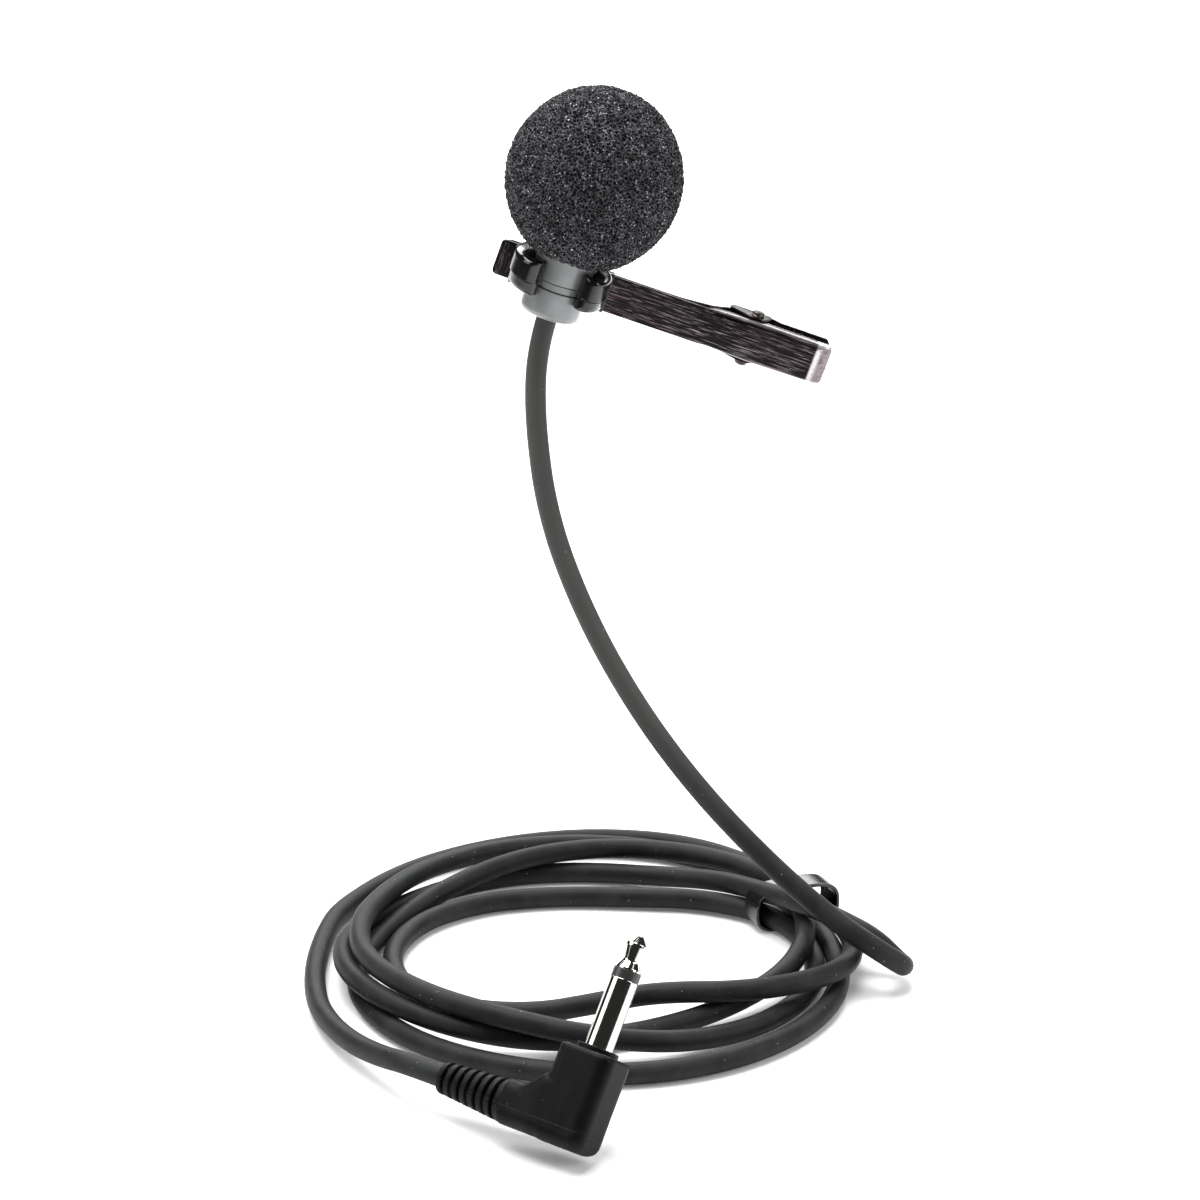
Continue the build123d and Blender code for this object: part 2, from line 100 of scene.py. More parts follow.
# ---------------------------------------------------------------- places
@dataclass(frozen=True)
class Place:
    """A local frame: an origin in metres and three unit axes."""

    origin: Array
    x: Array
    y: Array
    z: Array

    @classmethod
    def facing(cls, origin: Sequence[float], z: Sequence[float], near_x: Sequence[float]) -> "Place":
        """Frame with z along `z` and x as near `near_x` as it can be.

        Args:
            origin: its origin, in metres.
            z: direction of its third axis.
            near_x: rough direction of its first axis.

        Returns:
            The frame, right-handed.
        """
        up = np.array(z, float)
        up /= np.linalg.norm(up)
        side = np.array(near_x, float)
        side = side - up * (side @ up)
        side /= np.linalg.norm(side)
        return cls(np.array(origin, float), side, np.cross(up, side), up)

    def out(self, local: Array) -> Array:
        """Points in local millimetres, as metres in the row frame."""
        axes = np.stack([self.x, self.y, self.z])
        return self.origin + MM * (np.asarray(local, float) @ axes)

    def moved(self, x: float, y: float, z: float) -> "Place":
        """The same axes about another point, given in local millimetres."""
        return Place(self.out(np.array([x, y, z])), self.x, self.y, self.z)

    def tilted(self, angle: float) -> "Place":
        """The frame turned about its y axis, so that x dips towards -z by `angle` degrees."""
        along, dip = cos(radians(angle)), sin(radians(angle))
        return Place(self.origin, along * self.x - dip * self.z, self.y, along * self.z + dip * self.x)

    def euler(self) -> tuple[float, float, float]:
        """Rotation of the frame, as a Mapping node takes it."""
        return tuple(Matrix([list(self.x), list(self.y), list(self.z)]).transposed().to_euler())


@dataclass(frozen=True)
class Anatomy:
    """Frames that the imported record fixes."""

    head: Place
    plug: Place

    @classmethod
    def read(cls, mount_middle: float, cord_direction: Sequence[float]) -> "Anatomy":
        """Read the joints and the plug mount.

        Args:
            mount_middle: distance from the plug's corner to its mount, in millimetres.
            cord_direction: direction in which the lead enters the plug.

        Returns:
            The head's and the plug's frames.
        """
        joints = {joint["name"]: joint for joint in frame["joints"]}
        mounts = {mount["name"]: mount for mount in frame["record"]["mounts"]}
        turn, pin = joints["capsule_turn"], mounts["jack_plug"]
        head = Place.facing(turn["pos_m"], turn["axis"], (1, 0, 0))
        plug = Place.facing(pin["pos_m"], pin["axis"], cord_direction)
        return cls(head, plug.moved(0, 0, -mount_middle))


# ---------------------------------------------------------------- profiles and fields
def rounded_path(points: Sequence[Sequence[float]], radius: Union[float, Sequence[float]],
                 closed: bool = False, steps: int = 6) -> Array:
    """Polyline with its corners rounded by parabolas that touch both runs.

    A corner C with touching points A and B gives (1-t)^2 A + 2t(1-t) C + t^2 B, with a
    support point a little before A and after B to keep the flats flat.

    Args:
        points: corners, two or three numbers each.
        radius: rounding radius, one for all or one each.
        closed: whether the last corner joins the first.
        steps: points along each parabola.

    Returns:
        The points in order.
    """
    corner = np.array(points, float)
    before = np.roll(corner, 1, axis=0)
    after = np.roll(corner, -1, axis=0)
    back, on = before - corner, after - corner
    back_len = np.linalg.norm(back, axis=1, keepdims=True)
    on_len = np.linalg.norm(on, axis=1, keepdims=True)
    back, on = back / back_len, on / on_len
    turn = np.arccos(np.clip(-(back * on).sum(1, keepdims=True), -1, 1))
    reach = np.broadcast_to(np.asarray(radius, float).reshape(-1, 1), turn.shape) * np.tan(turn / 2)
    reach = np.minimum(reach, 0.42 * np.minimum(back_len, on_len))
    t = np.linspace(0, 1, steps)[None, :, None]
    start, end = (corner + back * reach)[:, None], (corner + on * reach)[:, None]
    arc = (1 - t) ** 2 * start + 2 * t * (1 - t) * corner[:, None] + t ** 2 * end
    lead_in = start + (back * reach)[:, None] * 0.16
    lead_out = end + (on * reach)[:, None] * 0.16
    run = np.concatenate([lead_in, arc, lead_out], axis=1)
    if closed:
        return run.reshape(-1, corner.shape[1])
    return np.concatenate([corner[:1], run[1:-1].reshape(-1, corner.shape[1]), corner[-1:]])


def rounded_rectangle(half_a: Array, half_b: Array, radius: Array, steps: int = 8) -> Array:
    """Loop of a rectangle with round corners, one for each value given.

    Each corner is centre + radius (cos, sin), with a support point on the flats beside it.

    Args:
        half_a: half sizes along the first axis, shape (n,).
        half_b: half sizes along the second axis, shape (n,).
        radius: corner radii, shape (n,).
        steps: points round each corner.

    Returns:
        Loops of shape (n, 4 * (steps + 2), 2), anticlockwise.
    """
    half_a, half_b, radius = (np.atleast_1d(v).astype(float)[:, None] for v in (half_a, half_b, radius))
    radius = np.minimum(radius, 0.98 * np.minimum(half_a, half_b))
    sweep = np.concatenate([[0], np.linspace(0, 1, steps), [1]]) * pi / 2
    shift = np.zeros(steps + 2)
    shift[0], shift[-1] = -0.25, 0.25
    angle = (sweep[None] + np.arange(4)[:, None] * pi / 2).ravel()
    shift = np.tile(shift, 4)
    sign_a = np.repeat([1, -1, -1, 1], steps + 2)
    sign_b = np.repeat([1, 1, -1, -1], steps + 2)
    room = np.minimum(half_a, half_b) - radius
    slide = shift * np.minimum(radius, room)
    loop_a = sign_a * (half_a - radius) + radius * np.cos(angle) - slide * np.sin(angle)
    loop_b = sign_b * (half_b - radius) + radius * np.sin(angle) + slide * np.cos(angle)
    return np.stack([loop_a, loop_b], axis=-1)


def smooth(value: Array, low: float, high: float) -> Array:
    """Smooth step 3t^2 - 2t^3 from 0 at `low` to 1 at `high`."""
    t = np.clip((np.asarray(value, float) - low) / (high - low), 0, 1)
    return t * t * (3 - 2 * t)


def lattice_noise(points: Array, size: float, seed: int) -> Array:
    """Smooth random field from -1 to 1.

    Random numbers stand on a cubic lattice, and the eight round a point are blended by 3t^2 - 2t^3.

    Args:
        points: places to read it at, shape (n, 3).
        size: lattice spacing.
        seed: choice of random numbers.

    Returns:
        One value each.
    """
    side = 32
    table = np.random.default_rng(seed).uniform(-1, 1, (side, side, side))
    scaled = points / size
    cell = np.floor(scaled).astype(int)
    weight = scaled - cell
    weight = weight * weight * (3 - 2 * weight)
    total = np.zeros(len(points))
    for step in product((0, 1), repeat=3):
        share = np.prod(np.where(np.array(step) == 1, weight, 1 - weight), axis=1)
        index = (cell + np.array(step)) % side
        total += share * table[index[:, 0], index[:, 1], index[:, 2]]
    return total


def cell_walls(points: Array, size: float, seed: int) -> Array:
    """Second nearest less nearest distance to scattered cell centres: 0 on a wall between cells.

    Args:
        points: places to read it at, shape (n, 3).
        size: cell spacing.
        seed: choice of centres.

    Returns:
        One value each, in cell spacings.
    """
    side = 32
    table = np.random.default_rng(seed).random((side, side, side, 3))
    scaled = points / size
    cell = np.floor(scaled).astype(int)
    first = np.full(len(points), 9.0)
    second = np.full(len(points), 9.0)
    for step in product((-1, 0, 1), repeat=3):
        other = cell + np.array(step)
        index = other % side
        centre = other + table[index[:, 0], index[:, 1], index[:, 2]]
        distance = np.linalg.norm(centre - scaled, axis=1)
        second = np.minimum(second, np.maximum(first, distance))
        first = np.minimum(first, distance)
    return second - first


# ---------------------------------------------------------------- meshes
def skin(name: str, rings: Array, start: Optional[Array] = None, end: Optional[Array] = None,
         wrap: bool = False) -> bpy.types.Object:
    """Closed mesh over rings of points: quads between neighbouring rings, fans at the two poles.

    Args:
        name: the piece's name.
        rings: points in metres, shape (rings, points round, 3).
        start: pole before the first ring, in metres.
        end: pole after the last ring, in metres.
        wrap: whether the last ring joins the first.

    Returns:
        The object, with outward faces.
    """
    count, around = rings.shape[:2]
    verts = rings.reshape(-1, 3)
    index = np.arange(count * around).reshape(count, around)
    low = index if wrap else index[:-1]
    high = np.roll(index, -1, axis=0) if wrap else index[1:]
    quads = np.stack([low, np.roll(low, -1, 1), np.roll(high, -1, 1), high], axis=-1).reshape(-1, 4)
    fans = []
    for pole, ring, order in ((start, index[0], 1), (end, index[-1], -1)):
        if pole is not None:
            verts = np.concatenate([verts, np.reshape(pole, (1, 3))])
            hub = np.full(around, len(verts) - 1)
            fans.append(np.stack([np.roll(ring, -1), ring, hub], axis=-1)[:, ::order])
    tris = np.concatenate(fans) if fans else np.zeros((0, 3), int)
    halves = np.concatenate([quads[:, [0, 1, 2]], quads[:, [0, 2, 3]], tris])
    a, b, c = (verts[halves[:, k]] - verts.mean(0) for k in range(3))
    if (np.cross(a, b) * c).sum() < 0:
        quads, tris = quads[:, ::-1], tris[:, ::-1]
    return mesh_object(name, verts, quads, tris)


def mesh_object(name: str, verts: Array, quads: Array, tris: Array) -> bpy.types.Object:
    """Smooth-shaded mesh object from whole arrays.

    Args:
        name: the piece's name.
        verts: points in metres.
        quads: corner numbers of the four-sided faces.
        tris: corner numbers of the three-sided faces.

    Returns:
        The object, linked to the scene.
    """
    mesh = bpy.data.meshes.new(name)
    corners = np.concatenate([quads.ravel(), tris.ravel()]).astype(np.int32)
    sizes = np.concatenate([np.full(len(quads), 4), np.full(len(tris), 3)]).astype(np.int32)
    starts = np.concatenate([[0], np.cumsum(sizes)[:-1]]).astype(np.int32)
    mesh.vertices.add(len(verts))
    mesh.vertices.foreach_set("co", np.ascontiguousarray(verts, np.float32).ravel())
    mesh.loops.add(len(corners))
    mesh.loops.foreach_set("vertex_index", corners)
    mesh.polygons.add(len(sizes))
    mesh.polygons.foreach_set("loop_start", starts)
    mesh.polygons.foreach_set("use_smooth", np.ones(len(sizes), bool))
    mesh.update(calc_edges=True)
    mesh.validate()
    made = bpy.data.objects.new(name, mesh)
    bpy.context.scene.collection.objects.link(made)
    return made


def turned_piece(name: str, place: Place, profile: Array, around: int = 96,
                 closed: bool = False) -> bpy.types.Object:
    """Surface of revolution: each (radius, height) becomes radius (cos a, sin a), height.

    Args:
        name: the piece's name.
        place: frame whose z is the axis.
        profile: radii and heights in millimetres; a closed profile makes a ring.
        around: points round the axis.
        closed: whether the profile is a closed loop.

    Returns:
        The object.
    """
    angle = np.linspace(0, TAU, around, endpoint=False)
    radius, height = profile[:, :1], profile[:, 1:]
    local = np.stack([radius * np.cos(angle), radius * np.sin(angle), height + 0 * angle], axis=-1)
    if closed:
        return skin(name, place.out(local), wrap=True)
    poles = [place.out(np.array([0, 0, profile[k, 1]])) for k in (0, -1)]
    return skin(name, place.out(local[1:-1]), poles[0], poles[1])


def carried_section(name: str, path: Array, across: Array, half_width: Array, half_thick: Array,
                    radius: float, bevel: float) -> bpy.types.Object:
    """Strip with a rounded oblong section, carried along a path and rounded off at its ends.

    A point is path + a across + b normal, with (a, b) on a rounded rectangle and the normal square
    to the path and to `across`.  At each end three shrinking rings and a pole close it.

    Args:
        name: the piece's name.
        path: centre line in metres, shape (n, 3).
        across: direction of the strip's width, one or one each.
        half_width: half widths in metres, shape (n,).
        half_thick: half thicknesses in metres, shape (n,).
        radius: corner radius of the section in metres.
        bevel: rounding at the two ends in metres.

    Returns:
        The object.
    """
    tangent = np.gradient(path, axis=0)
    tangent /= np.linalg.norm(tangent, axis=1, keepdims=True)
    side = np.broadcast_to(across, path.shape)
    side = side - tangent * (side * tangent).sum(1, keepdims=True)
    side = side / np.linalg.norm(side, axis=1, keepdims=True)
    normal = np.cross(tangent, side)
    far = np.minimum(np.linalg.norm(path - path[0], axis=1), np.linalg.norm(path - path[-1], axis=1))
    inner = far > 1.2 * bevel
    pick = np.concatenate([[0] * 3, np.flatnonzero(inner), [len(path) - 1] * 3])
    less = np.concatenate([[bevel, bevel * 0.35, 0], np.zeros(inner.sum()), [0, bevel * 0.35, bevel]])
    spine = np.concatenate([[path[0], path[0] + tangent[0] * bevel * 0.3, path[0] + tangent[0] * bevel],
                            path[inner],
                            [path[-1] - tangent[-1] * bevel, path[-1] - tangent[-1] * bevel * 0.3,
                             path[-1]]])
    wide, thick = half_width[pick] - less, half_thick[pick] - less
    loop = rounded_rectangle(wide, thick, np.full(len(pick), radius))
    rings = spine[:, None] + loop[..., :1] * side[pick][:, None] + loop[..., 1:] * normal[pick][:, None]
    return skin(name, rings, path[0], path[-1])


def wire(name: str, path: Array, reference: Array, radius: float, around: int = 14) -> bpy.types.Object:
    """Round wire: path + radius (cos a n + sin a b), with n and b square to the path.

    Args:
        name: the piece's name.
        path: centre line in metres.
        reference: a direction that the path never follows.
        radius: wire radius in metres.
        around: points round it.

    Returns:
        The object, with rounded ends.
    """
    tangent = np.gradient(path, axis=0)
    tangent /= np.linalg.norm(tangent, axis=1, keepdims=True)
    n = np.cross(tangent, reference)
    n /= np.linalg.norm(n, axis=1, keepdims=True)
    b = np.cross(tangent, n)
    angle = np.linspace(0, TAU, around, endpoint=False)[None, :, None]
    size = np.full(len(path), radius)
    size[[0, -1]] = 0.55 * radius
    rings = path[:, None] + size[:, None, None] * (np.cos(angle) * n[:, None] + np.sin(angle) * b[:, None])
    return skin(name, rings, path[0] - tangent[0] * radius * 0.2, path[-1] + tangent[-1] * radius * 0.2)


def joined(name: str, parts: Sequence[bpy.types.Object], voxel: float, rounds: int) -> bpy.types.Object:
    """Overlapping closed shells made one skin by a voxel remesh, then smoothed.

    Args:
        name: the new piece's name.
        parts: shells, which are removed.
        voxel: remesh size in metres.
        rounds: smoothing rounds.

    Returns:
        The one closed piece.
    """
    offset, verts, faces = 0, [], []
    for part in parts:
        mesh = part.data
        co = np.empty(len(mesh.vertices) * 3, np.float32)
        mesh.vertices.foreach_get("co", co)
        verts.append(co.reshape(-1, 3))
        faces += [[v + offset for v in p.vertices] for p in mesh.polygons]
        offset += len(mesh.vertices)
        bpy.data.objects.remove(part)
    rough = bpy.data.meshes.new(name + "_shells")
    rough.from_pydata(np.concatenate(verts).tolist(), [], faces)
    holder = bpy.data.objects.new(name + "_shells", rough)
    bpy.context.scene.collection.objects.link(holder)
    remesh = holder.modifiers.new("Remesh", "REMESH")
    remesh.mode, remesh.voxel_size, remesh.use_smooth_shade = "VOXEL", voxel, True
    relax = holder.modifiers.new("Relax", "SMOOTH")
    relax.factor, relax.iterations = 0.5, rounds
    evaluated = holder.evaluated_get(bpy.context.evaluated_depsgraph_get())
    mesh = bpy.data.meshes.new_from_object(evaluated)
    mesh.name = name
    bpy.data.objects.remove(holder)
    made = bpy.data.objects.new(name, mesh)
    bpy.context.scene.collection.objects.link(made)
    return made


# ---------------------------------------------------------------- shader expressions
class Value:
    """A number socket that can be used in expressions; each operator adds one Math node."""

    def __init__(self, shade: "Shade", socket: bpy.types.NodeSocket) -> None:
        """Wrap an output socket of one shade's tree."""
        self.shade = shade
        self.socket = socket

    def _math(self, operation: str, first: Any, second: Any = 0.0) -> "Value":
        """One Math node on two numbers or values."""
        made = self.shade.node("ShaderNodeMath", {"operation": operation}, {0: first, 1: second})
        return Value(self.shade, made.outputs[0])

    def __add__(self, other: Any) -> "Value":
        """Sum."""
        return self._math("ADD", self, other)

    def __sub__(self, other: Any) -> "Value":
        """Difference."""
        return self._math("SUBTRACT", self, other)

    def __rsub__(self, other: Any) -> "Value":
        """Difference, the other way."""
        return self._math("SUBTRACT", other, self)

    def __mul__(self, other: Any) -> "Value":
        """Product."""
        return self._math("MULTIPLY", self, other)

    def __truediv__(self, other: Any) -> "Value":
        """Quotient."""
        return self._math("DIVIDE", self, other)

    def __pow__(self, other: Any) -> "Value":
        """Power."""
        return self._math("POWER", self, other)

    __radd__ = __add__
    __rmul__ = __mul__

    def step(self, low: float, high: float) -> "Value":
        """Smooth step from 0 at `low` to 1 at `high`, or the reverse if high is below low."""
        made = self.shade.node("ShaderNodeMapRange", {"interpolation_type": "SMOOTHSTEP"},
                               {0: self, 1: min(low, high), 2: max(low, high),
                                3: float(low > high), 4: float(low <= high)})
        return Value(self.shade, made.outputs[0])


class Shade:
    """One material's node tree, written as expressions."""

    def __init__(self, name: str, fixed: Mapping[str, float]) -> None:
        """Start a material.

        Args:
            name: its name.
            fixed: numbers set on the shader's own sockets.
        """
        self.material = bpy.data.materials.new(name)
        self.material.use_nodes = True
        self.tree = self.material.node_tree
        self.surface = self.tree.nodes["Principled BSDF"]
        for key, number in fixed.items():
            self.surface.inputs[key].default_value = number

    def feed(self, socket: bpy.types.NodeSocket, source: Any) -> None:
        """Link a value or a socket to an input, or set a constant on it."""
        if isinstance(source, Value):
            self.tree.links.new(source.socket, socket)
        elif isinstance(source, bpy.types.NodeSocket):
            self.tree.links.new(source, socket)
        else:
            socket.default_value = source

    def node(self, kind: str, settings: Mapping[str, Any], sockets: Mapping[Any, Any]) -> bpy.types.Node:
        """Add any node.

        Args:
            kind: its type.
            settings: its own settings, which are set first.
            sockets: values or links of its inputs.

        Returns:
            The node.
        """
        made = self.tree.nodes.new(kind)
        for key, setting in settings.items():
            setattr(made, key, setting)
        for key, source in sockets.items():
            self.feed(made.inputs[key], source)
        return made

    def spot(self, size: Sequence[float], place: Optional[Place] = None) -> bpy.types.NodeSocket:
        """Object coordinates in a place's frame, divided by feature sizes in millimetres."""
        source = self.node("ShaderNodeTexCoord", {}, {}).outputs["Object"]
        sockets = {"Vector": source, "Scale": [s * MM for s in size]}
        if place is not None:
            sockets.update({"Location": list(place.origin), "Rotation": place.euler()})
        return self.node("ShaderNodeMapping", {"vector_type": "TEXTURE"}, sockets).outputs[0]

    def part(self, vector: bpy.types.NodeSocket, axis: str) -> Value:
        """One coordinate of a vector."""
        return Value(self, self.node("ShaderNodeSeparateXYZ", {}, {0: vector}).outputs[axis])

    def noise(self, vector: bpy.types.NodeSocket, detail: float = 3.0, rough: float = 0.5) -> Value:
        """Fractal noise from about 0.2 to 0.8, one feature for each unit of the vector."""
        made = self.node("ShaderNodeTexNoise", {},
                         {"Vector": vector, "Scale": 1.0, "Detail": detail, "Roughness": rough})
        return Value(self, made.outputs[0])

    def cells(self, vector: bpy.types.NodeSocket, feature: str = "F1") -> Value:
        """Distance to scattered centres, or to the walls between their cells."""
        made = self.node("ShaderNodeTexVoronoi", {"feature": feature}, {"Vector": vector, "Scale": 1.0})
        return Value(self, made.outputs["Distance"])

    def specks(self, size: float, spread: float, place: Optional[Place] = None) -> Value:
        """Mask of small specks: near a scattered centre, where a second noise is high."""
        near = self.cells(self.spot([spread] * 3, place)).step(size / spread, 0.4 * size / spread)
        return near * self.noise(self.spot([spread * 2.3] * 3, place), 2.0).step(0.5, 0.62)

    def blend(self, mask: Value, first: Any, second: Any) -> bpy.types.NodeSocket:
        """Colour mix: the first where the mask is 0, the second where it is 1."""
        ends = [(*c, 1.0) if isinstance(c, tuple) else c for c in (first, second)]
        made = self.node("ShaderNodeMix", {"data_type": "RGBA"}, {0: mask, 6: ends[0], 7: ends[1]})
        return made.outputs[2]

    def dents(self, height: Value, depth: float, strength: float = 1.0) -> None:
        """Bump that feeds Normal; `depth` is in millimetres."""
        made = self.node("ShaderNodeBump", {}, {"Strength": strength, "Distance": depth * MM,
                                                "Height": height})
        self.feed(self.surface.inputs["Normal"], made.outputs[0])

    def coat(self, colour: Any, roughness: Any, metallic: Any = 0.0) -> bpy.types.Material:
        """Feed colour, roughness and metallic, and return the finished material."""
        self.feed(self.surface.inputs["Base Color"], (*colour, 1.0) if isinstance(colour, tuple) else colour)
        self.feed(self.surface.inputs["Roughness"], roughness)
        self.feed(self.surface.inputs["Metallic"], metallic)
        return self.material


# ---------------------------------------------------------------- finishes
@dataclass(frozen=True)
class Jacket:
    """Satin rubber of the lead: a soft mottle, fine grain, a little dust, and a painted sheen that lightens the
    upper run.
    """

    name: str = "lead_jacket"
    colour: Colour = (0.0130, 0.0134, 0.0142)
    worn: Colour = (0.0215, 0.022, 0.023)
    dust: Colour = (0.42, 0.42, 0.41)
    roughness: float = 0.5
    # painted sheen: the lead's upper run, rising through the heights in fade (mm), is painted lighter to stand for
    # the light falling on it
    painted_upper_sheen: Colour = (0.055, 0.055, 0.053)
    fade: tuple = (-78.0, -50.0)

    def build(self) -> bpy.types.Material:
        """Make the material."""
        shade = Shade(self.name, {"Specular IOR Level": 0.12})
        mottle = shade.noise(shade.spot([4.0] * 3), 4.0)
        grain = shade.noise(shade.spot([0.16] * 3), 2.0)
        dust = shade.specks(0.09, 0.8) * 0.7
        height = shade.part(shade.spot([1, 1, 1]), "Z")
        tint = shade.blend(mottle.step(0.35, 0.7), self.colour, self.worn)
        # painted sheen: lighter colour above the fade heights
        tint = shade.blend(height.step(*self.fade), tint, self.painted_upper_sheen)
        shade.dents(grain + mottle * 0.5, 0.02, 0.55)
        rough = (mottle - 0.5) * 0.22 + (grain - 0.5) * 0.12 + self.roughness + dust * 0.3
        return shade.coat(shade.blend(dust, tint, self.dust), rough)


@dataclass(frozen=True)
class Moulding:
    """Moulded plastic, from polished to satin, with grain, faint flow marks and dust."""

    name: str
    colour: Colour
    roughness: float
    grain: float = 0.01
    dust: float = 0.5
    gloss: float = 0.5
    seam: Optional[Place] = None

    def build(self) -> bpy.types.Material:
        """Make the material."""
        shade = Shade(self.name, {"Specular IOR Level": self.gloss})
        flow = shade.noise(shade.spot([2.6, 2.6, 5.0]), 3.0)
        fine = shade.noise(shade.spot([0.12] * 3), 2.0)
        dust = shade.specks(0.06, 0.9) * self.dust
        lifted = tuple(1.7 * c for c in self.colour)
        tint = shade.blend(flow.step(0.3, 0.75), self.colour, lifted)
        relief = fine + flow * 0.6
        if self.seam is not None:
            off = shade.part(shade.spot([1, 1, 1], self.seam), "Z")
            relief = relief - (off * off).step(0.02, 0.002) * 6
        shade.dents(relief, self.grain, 0.6)
        rough = (flow - 0.5) * 0.12 + (fine - 0.5) * 0.06 + self.roughness + dust * 0.3
        return shade.coat(shade.blend(dust, tint, (0.5, 0.5, 0.49)), rough)


@dataclass(frozen=True)
class Brushed:
    """Dark plated steel, brushed along the arm, with warm and bright streaks; the tip is brushed across.

    With an end highlight colour given, the handle end is painted lighter as a highlight, and painted highlight
    lines run along its folded edges and the crease at the end bend.
    """

    name: str
    place: Place
    colour: Colour
    warm: Colour
    bright: Colour
    # painted highlight colours: one for the handle end, one for the thin lines on its folded edges
    painted_end_highlight: Colour = (0.0, 0.0, 0.0)
    painted_edge_highlight: Colour = (0.80, 0.75, 0.75)
    roughness: float = 0.33
    tip_at: float = -5.6
    fold: tuple = (20.0, 35.8)
    edge: float = 2.3

    def build(self) -> bpy.types.Material:
        """Make the material."""
        shade = Shade(self.name, {"Specular IOR Level": 0.5})
        along = shade.noise(shade.spot([3.6, 0.085, 0.085], self.place), 3.0, 0.6)
        cross = shade.noise(shade.spot([0.09, 0.8, 2.4], self.place), 3.0, 0.6)
        broad = shade.noise(shade.spot([16.0, 0.45, 0.45], self.place), 2.0)
        hue = shade.noise(shade.spot([12.0, 0.22, 0.22], self.place), 3.0)
        tip = shade.part(shade.spot([1, 1, 1], self.place), "X").step(self.tip_at, self.tip_at - 0.8)
        streak = along * (1 - tip) + cross * tip
        tint = shade.blend(streak.step(0.56, 0.72) * (1 - tip * 0.6), self.colour, self.bright)
        tint = shade.blend(hue.step(0.52, 0.68) * streak.step(0.42, 0.6) * 0.6 * (1 - tip), tint, self.warm)
        spot = shade.spot([1, 1, 1], self.place)
        along_x, up_z = shade.part(spot, "X"), shade.part(spot, "Z")
        folded = along_x.step(self.fold[0], self.fold[0] + 3)
        rim = folded * (up_z * up_z).step(self.edge ** 2, (self.edge + 0.3) ** 2)
        end = along_x.step(self.fold[1] + 0.3, self.fold[1] + 0.9)
        crease = along_x.step(self.fold[1] - 0.25, self.fold[1] + 0.1) * (1 - end)
        # painted highlight: the handle end and thin lines on its folded edges and end crease are painted bright
        # where light catches the bends
        if any(self.painted_end_highlight):
            tint = shade.blend(end * broad.step(0.1, 0.6), tint, self.painted_end_highlight)
            lines = (rim * (end * 0.6 + 0.3) + crease) * streak.step(0.25, 0.5) * 0.8
            tint = shade.blend(lines, tint, self.painted_edge_highlight)
        shade.dents(streak, 0.018, 0.75)
        rough = (streak - 0.5) * 0.5 + (broad - 0.5) * 0.25 + self.roughness + end * 0.08
        return shade.coat(tint, rough, 1.0)


@dataclass(frozen=True)
class Polished:
    """Polished or drawn metal with very fine turning marks round its axis."""

    name: str
    place: Place
    colour: Colour
    roughness: float
    marks: float = 0.004

    def build(self) -> bpy.types.Material:
        """Make the material."""
        shade = Shade(self.name, {"Specular IOR Level": 0.5})
        rings = shade.noise(shade.spot([3.0, 3.0, 0.07], self.place), 3.0)
        haze = shade.noise(shade.spot([1.5] * 3, self.place), 4.0)
        tint = shade.blend(haze.step(0.4, 0.7) * 0.4, self.colour, tuple(0.72 * c for c in self.colour))
        shade.dents(rings, self.marks, 0.5)
        return shade.coat(tint, (haze - 0.5) * 0.16 + (rings - 0.5) * 0.08 + self.roughness, 1.0)


@dataclass(frozen=True)
class OpenFoam:
    """Open-cell foam: pores painted dark as shade, strands between them in a paler lit colour, and scattered
    painted glints.
    """

    name: str = "windscreen_foam"
    # pore is painted shade inside the cells, strand the lit colour of the same foam; random patches also take the
    # pore colour
    pore: Colour = (0.004, 0.004, 0.005)
    strand: Colour = (0.165, 0.163, 0.175)
    painted_glint: Colour = (0.85, 0.86, 0.9)

    def build(self) -> bpy.types.Material:
        """Make the material."""
        shade = Shade(self.name, {"Specular IOR Level": 0.12})
        fine = shade.cells(shade.spot([0.5] * 3), "DISTANCE_TO_EDGE")
        small = shade.noise(shade.spot([0.2] * 3), 3.0, 0.7)
        patch = shade.noise(shade.spot([1.6] * 3), 3.0)
        strands = fine.step(0.2, 0.02)
        tint = shade.blend(strands * small.step(0.4, 0.6), self.pore, self.strand)
        # painted glints: small bright specks, mostly on the strands
        glint_mask = (shade.specks(0.17, 0.66) * small.step(0.4, 0.6) + shade.specks(0.11, 0.42) * 0.8) * 0.9
        tint = shade.blend(patch.step(0.42, 0.66) * 0.5, tint, self.pore)
        shade.dents(strands + small * 0.9, 0.10, 0.6)
        return shade.coat(shade.blend(glint_mask, tint, self.painted_glint), (small - 0.5) * 0.2 + 0.9)


@dataclass(frozen=True)
class Lacquer:
    """Satin lacquer over metal: fine orange peel, faint turning lines and a few specks."""

    name: str
    place: Place
    colour: Colour = (0.225, 0.235, 0.236)
    roughness: float = 0.33

    def build(self) -> bpy.types.Material:
        """Make the material."""
        shade = Shade(self.name, {"Specular IOR Level": 0.5})
        peel = shade.noise(shade.spot([0.28] * 3, self.place), 3.0)
        lines = shade.noise(shade.spot([6.0, 6.0, 0.1], self.place), 2.0)
        patch = shade.noise(shade.spot([2.2] * 3, self.place), 3.0)
        dust = shade.specks(0.05, 0.7, self.place) * 0.5
        tint = shade.blend(patch.step(0.35, 0.7), self.colour, tuple(1.18 * c for c in self.colour))
        shade.dents(peel + lines * 0.5, 0.008, 0.6)
        rough = (peel - 0.5) * 0.18 + (lines - 0.5) * 0.12 + self.roughness
        return shade.coat(shade.blend(dust, tint, (0.55, 0.55, 0.54)), rough, 0.25)


